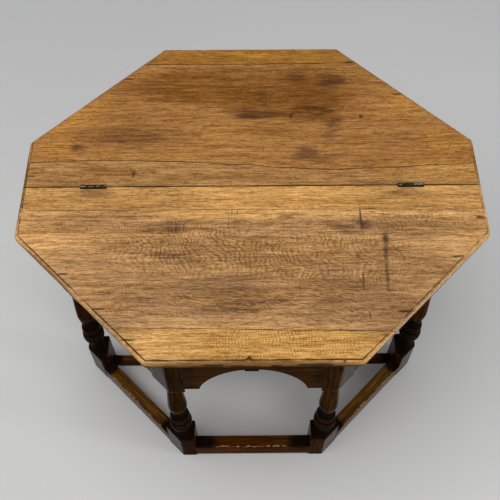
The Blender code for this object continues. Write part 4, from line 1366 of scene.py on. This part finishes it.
def make_top_oak():
    """Honey oak of the top, with brown clouding, ray fleck, old marks and a rubbed edge."""
    material, recipe, shader = start_material("waxed_top")
    grain = recipe.layer("grain", "Vector")
    oak = recipe.use(GRAIN, Grain=grain).outputs
    swirling = recipe.use(FLECK, Grain=grain, Across=620.0, Lean=210.0).outputs
    slanting = recipe.use(FLECK, Grain=grain, Across=330.0, Lean=1000.0).outputs
    upright = recipe.use(FLECK, Grain=grain, Across=1150.0, Lean=130.0).outputs
    wear = recipe.use(WEAR, Grain=grain).outputs
    place = recipe.add("TexCoord").outputs["Object"]
    flat = recipe.vector("MULTIPLY", place, (1.0, 1.0, 0.0))
    upper = recipe.span(recipe.add("SeparateXYZ", place).outputs[2], UNDERSIDE + 0.0005, UNDERSIDE + 0.0020)

    wander = recipe.add("TexNoise")
    recipe.feed(wander.inputs["Vector"], recipe.vector("MULTIPLY", flat, (9.0, 34.0, 1.0)))
    recipe.feed(wander.inputs["Scale"], 1.0)
    wandered = recipe.vector("SUBTRACT", wander.outputs[1], (0.5, 0.5, 0.5))
    drift = recipe.vector("MULTIPLY", wandered, (0.09, 0.030, 0.0))
    cloud_place = recipe.vector("ADD", flat, drift)
    spot_drift = recipe.vector("MULTIPLY", drift, (0.03, 0.06, 0.0))
    spot_place = recipe.vector("ADD", flat, spot_drift)

    tone = recipe.weigh(oak, (("Streak", 0.28), ("Line", 0.44), ("Fibre", 0.28)))
    colour = recipe.ramp(tone, TOP_TONES)
    colour = recipe.mix(1.0, colour, recipe.layer("tint", "Color"), "MULTIPLY")
    broad = recipe.span(recipe.noise(grain, (2.6, 21.0, 21.0), 3.0, 0.6), 0.38, 0.66)
    colour = recipe.stain(colour, recipe.times(broad, 0.46), BROAD_SHADE)
    streaky = recipe.span(recipe.noise(grain, (14.0, 120.0, 120.0), 3.0, 0.6), 0.32, 0.60, 0.72, 1.30)
    for clouds, shade in CLOUD_SHADES:
        cloud = recipe.times(gather(recipe, cloud_place, clouds), streaky)
        colour = recipe.stain(colour, recipe.times(cloud, upper), shade)
    for lines, areas in ((swirling, SWIRLED), (slanting, SLANTED), (upright, HATCHED)):
        dark_ray = recipe.stain(colour, 1.0, DARK_RAY_SHADE)
        pale_ray = recipe.stain(colour, 1.0, PALE_RAY_SHADE)
        figure = recipe.mix(lines["Fleck"], dark_ray, pale_ray)
        area = gather(recipe, cloud_place, areas)
        colour = recipe.mix(recipe.times(area, lines["Share"]), colour, figure)

    colour = recipe.stain(colour, recipe.times(oak["Pore"], 0.55), TOP_PORE_SHADE)
    speck = recipe.span(recipe.noise(flat, (190.0, 330.0, 1.0), 1.0, 0.5), 0.66, 0.74)
    colour = recipe.stain(colour, recipe.times(speck, 0.75), SPECK_SHADE)
    spots = gather(recipe, spot_place, SPOTS)
    colour = recipe.paint(colour, recipe.times(spots, upper), SPOT_COLOUR)
    split = gather(recipe, spot_place, crack_marks())
    colour = recipe.paint(colour, recipe.times(split, 0.9), CRACK_COLOUR)
    colour = recipe.paint(colour, recipe.times(wear["Rubbed"], 0.45), RUBBED_EDGE_COLOUR)
    # Painted shade on the noses of the edge, with darkening from hands
    shade_and_handling = gather(recipe, spot_place, SHADED_AND_HANDLED_EDGES)
    colour = recipe.stain(colour, shade_and_handling, EDGE_SHADE_AND_HANDLING)
    # Dirt, and painted shade on the nose's lower half and the underside
    colour = recipe.paint(colour, recipe.times(wear["DirtAndShade"], 0.88), TOP_DIRT_AND_SHADE_COLOUR)

    recipe.feed(shader.inputs["Base Color"], colour)
    recipe.feed(shader.inputs["Roughness"], recipe.span(tone, 0.0, 1.0, 0.52, 0.40))
    dulled = recipe.math("MAXIMUM", wear["DirtAndShade"], recipe.times(shade_and_handling, 0.75))
    clear_of_dirt_and_shade = recipe.math("SUBTRACT", 1.0, dulled)
    waxed = recipe.span(recipe.layer("wear", "Fac"), 0.0, 0.5, 0.18, 0.60)
    recipe.feed(shader.inputs["Coat Weight"], recipe.times(waxed, clear_of_dirt_and_shade))
    shader.inputs["Coat Roughness"].default_value = 0.15
    shader.inputs["Specular IOR Level"].default_value = 0.01
    sunk = recipe.math("ADD", oak["Pore"], recipe.times(split, 3.0))
    relief = recipe.math("SUBTRACT", recipe.times(oak["Line"], 0.4), sunk)
    add_bump(recipe, shader, relief, 0.35, 0.0006)
    return material


# Colours that the darker oaks share
MOTTLE_SHADE = (0.50, 0.42, 0.36)
FRAME_PORE_SHADE = (0.30, 0.25, 0.22)
FRAME_DIRT_AND_SHADE_COLOUR = (0.006, 0.0035, 0.002)


def make_polished_oak(name, tones, rubbed_and_highlight_colour, rubbed_and_highlight_share, dirt_and_shade_share, roughness, gloss):
    """Darker oak of the frame: its own tones, with rubbed arrises that on the turnings also stand for painted
    highlights, and dirt with painted shade in the quirks.
    """
    material, recipe, shader = start_material(name)
    grain = recipe.layer("grain", "Vector")
    oak = recipe.use(GRAIN, Grain=grain).outputs
    wear = recipe.use(WEAR, Grain=grain).outputs
    tone = recipe.weigh(oak, (("Streak", 0.6), ("Line", 0.4)))
    colour = recipe.mix(1.0, recipe.ramp(tone, tones), recipe.layer("tint", "Color"), "MULTIPLY")
    colour = recipe.stain(colour, recipe.times(oak["Mottle"], 0.55), MOTTLE_SHADE)
    colour = recipe.stain(colour, recipe.times(oak["Pore"], 0.6), FRAME_PORE_SHADE)
    # Rubbed arrises; on the frame's rings and beads this pale colour is also a painted highlight
    colour = recipe.paint(colour, recipe.times(wear["Rubbed"], rubbed_and_highlight_share), rubbed_and_highlight_colour)
    # Dirt, and painted shade on the lower rings, the rail ends and the feet of posts
    colour = recipe.paint(colour, recipe.times(wear["DirtAndShade"], dirt_and_shade_share), FRAME_DIRT_AND_SHADE_COLOUR)
    recipe.feed(shader.inputs["Base Color"], colour)
    low, high = roughness
    recipe.feed(shader.inputs["Roughness"], recipe.span(tone, 0.0, 1.0, high, low))
    grazing = recipe.span(recipe.add("LayerWeight").outputs["Facing"], 0.73, 0.88, 0.0, gloss)
    sheen = recipe.math("ADD", grazing, recipe.times(wear["Rubbed"], 0.08))
    clear_of_dirt_and_shade = recipe.math("SUBTRACT", 1.0, wear["DirtAndShade"])
    recipe.feed(shader.inputs["Coat Weight"], recipe.times(sheen, clear_of_dirt_and_shade))
    shader.inputs["Coat Roughness"].default_value = 0.25
    shader.inputs["Specular IOR Level"].default_value = 0.002
    shader.inputs["Specular Tint"].default_value = (1.0, 0.72, 0.46, 1.0)
    relief = recipe.math("SUBTRACT", recipe.times(oak["Line"], 0.5), oak["Pore"])
    add_bump(recipe, shader, relief, 0.35, 0.0006)
    return material


# Height of the top of the hinge knuckles
KNUCKLE_CROWN = 0.7154


def make_iron():
    """Dark iron of the hinges, browned by rust, with painted glints on the tops of the knuckles."""
    material, recipe, shader = start_material("hinge_iron")
    place = recipe.add("TexCoord").outputs["Object"]
    rust = recipe.span(recipe.noise(place, (160.0, 160.0, 160.0), 4.0, 0.6), 0.46, 0.66)
    scale = recipe.noise(place, (700.0, 700.0, 700.0), 3.0, 0.6)
    bright = recipe.span(recipe.noise(place, (110.0, 420.0, 420.0), 2.0, 0.6), 0.50, 0.62)
    crown = recipe.span(recipe.add("SeparateXYZ", place).outputs[2], KNUCKLE_CROWN - 0.0016, KNUCKLE_CROWN)
    # Painted glints: a pale colour on the tops of the knuckles
    glint = recipe.times(bright, crown)
    colour = recipe.mix(rust, (0.014, 0.013, 0.011, 1.0), (0.026, 0.014, 0.008, 1.0))
    colour = recipe.mix(glint, colour, (0.260, 0.245, 0.205, 1.0))
    recipe.feed(shader.inputs["Base Color"], colour)
    recipe.feed(shader.inputs["Metallic"], recipe.span(rust, 0.0, 1.0, 0.60, 0.10))
    recipe.feed(shader.inputs["Roughness"], recipe.span(scale, 0.3, 0.7, 0.45, 0.70))
    shader.inputs["Specular IOR Level"].default_value = 0.15
    add_bump(recipe, shader, scale, 0.4, 0.0003)
    return material


# Camera, floor and light

# The camera solved from the photo: place, turns in radians, focal length and picture width in pixels
CAMERA_PLACE = (-0.0127, -0.9211, 1.9830)
CAMERA_YAW = -0.0092
CAMERA_PITCH = -1.0257
CAMERA_ROLL = -0.0009
FOCAL_PIXELS = 783.18
PHOTO_PIXELS = 500
SENSOR_WIDTH = 36.0


def make_camera():
    turn = (Matrix.Rotation(CAMERA_YAW, 4, "Z") @ Matrix.Rotation(CAMERA_PITCH, 4, "X")
            @ Matrix.Rotation(CAMERA_ROLL, 4, "Y") @ Matrix.Rotation(math.radians(90), 4, "X"))
    data = bpy.data.cameras.new("photo_camera")
    data.sensor_width = SENSOR_WIDTH
    data.lens = FOCAL_PIXELS / PHOTO_PIXELS * SENSOR_WIDTH
    camera = bpy.data.objects.new("photo_camera", data)
    camera.matrix_world = Matrix.Translation(CAMERA_PLACE) @ turn
    bpy.context.scene.collection.objects.link(camera)
    bpy.context.scene.camera = camera


def make_floor():
    data = bpy.data.meshes.new("floor")
    half = 5.0
    corners = [(-half, -half, 0), (half, -half, 0), (half, half, 0), (-half, half, 0)]
    data.from_pydata(corners, [], [(0, 1, 2, 3)])
    material, recipe, shader = start_material("pale_floor")
    place = recipe.add("TexCoord").outputs["Object"]
    cloud = recipe.noise(place, (0.8, 0.8, 0.8), 3.0, 0.5)
    colour = recipe.mix(cloud, (0.560, 0.555, 0.545, 1.0), (0.600, 0.595, 0.585, 1.0))
    recipe.feed(shader.inputs["Base Color"], colour)
    shader.inputs["Roughness"].default_value = 0.8
    data.materials.append(material)
    floor = bpy.data.objects.new("floor", data)
    bpy.context.scene.collection.objects.link(floor)


# Soft square lights: name, place, size in metres, power in watts, and the point that they face
SOFT_LIGHTS = [
    ("overhead_softbox", (-0.7, -0.5, 3.0), 2.2, 54.0),
    ("front_fill", (1.0, -2.4, 2.0), 1.6, 14.0),
    ("side_window", (3.0, -1.1, 1.1), 0.6, 26.0),
]
LIGHT_GOAL = Vector((0.0, 0.0, 0.4))


def make_light():
    world = bpy.data.worlds.new("studio")
    world.use_nodes = True
    background = world.node_tree.nodes["Background"]
    background.inputs["Color"].default_value = (0.95, 0.97, 1.0, 1.0)
    background.inputs["Strength"].default_value = 0.45
    bpy.context.scene.world = world
    for name, place, size, power in SOFT_LIGHTS:
        data = bpy.data.lights.new(name, "AREA")
        data.shape = "SQUARE"
        data.size = size
        data.energy = power
        light = bpy.data.objects.new(name, data)
        light.location = place
        light.rotation_euler = (LIGHT_GOAL - Vector(place)).to_track_quat("-Z", "Y").to_euler()
        bpy.context.scene.collection.objects.link(light)


def main():
    top_oak = make_top_oak()
    # The frame's rubbed colour also paints highlights on the turned rings and beads
    frame_oak = make_polished_oak(
        "polished_frame",
        [(0.0, (0.007, 0.0023, 0.0004)), (0.5, (0.025, 0.0096, 0.0014)), (1.0, (0.058, 0.0240, 0.0042))],
        rubbed_and_highlight_colour=(0.085, 0.040, 0.013), rubbed_and_highlight_share=0.55, dirt_and_shade_share=0.96,
        roughness=(0.24, 0.36), gloss=0.55)
    stretcher_oak = make_polished_oak(
        "rubbed_stretcher",
        [(0.0, (0.022, 0.0075, 0.0018)), (0.5, (0.062, 0.0240, 0.0058)), (1.0, (0.130, 0.0580, 0.0150))],
        rubbed_and_highlight_colour=(0.320, 0.200, 0.092), rubbed_and_highlight_share=0.72, dirt_and_shade_share=0.97,
        roughness=(0.32, 0.46), gloss=0.55)
    inner_oak = make_polished_oak(
        "plain_inside",
        [(0.0, (0.035, 0.0160, 0.0060)), (0.5, (0.080, 0.0400, 0.0160)), (1.0, (0.140, 0.0780, 0.0350))],
        rubbed_and_highlight_colour=(0.170, 0.100, 0.050), rubbed_and_highlight_share=0.40, dirt_and_shade_share=0.80,
        roughness=(0.55, 0.70), gloss=0.10)
    iron = make_iron()

    make_top(top_oak)
    make_legs(frame_oak)
    make_frame_rails(frame_oak, stretcher_oak)
    make_gate(inner_oak)
    make_glue_blocks(inner_oak)
    make_hinges(iron)

    make_camera()
    make_floor()
    make_light()
    bpy.context.scene.view_settings.view_transform = "Standard"


main()
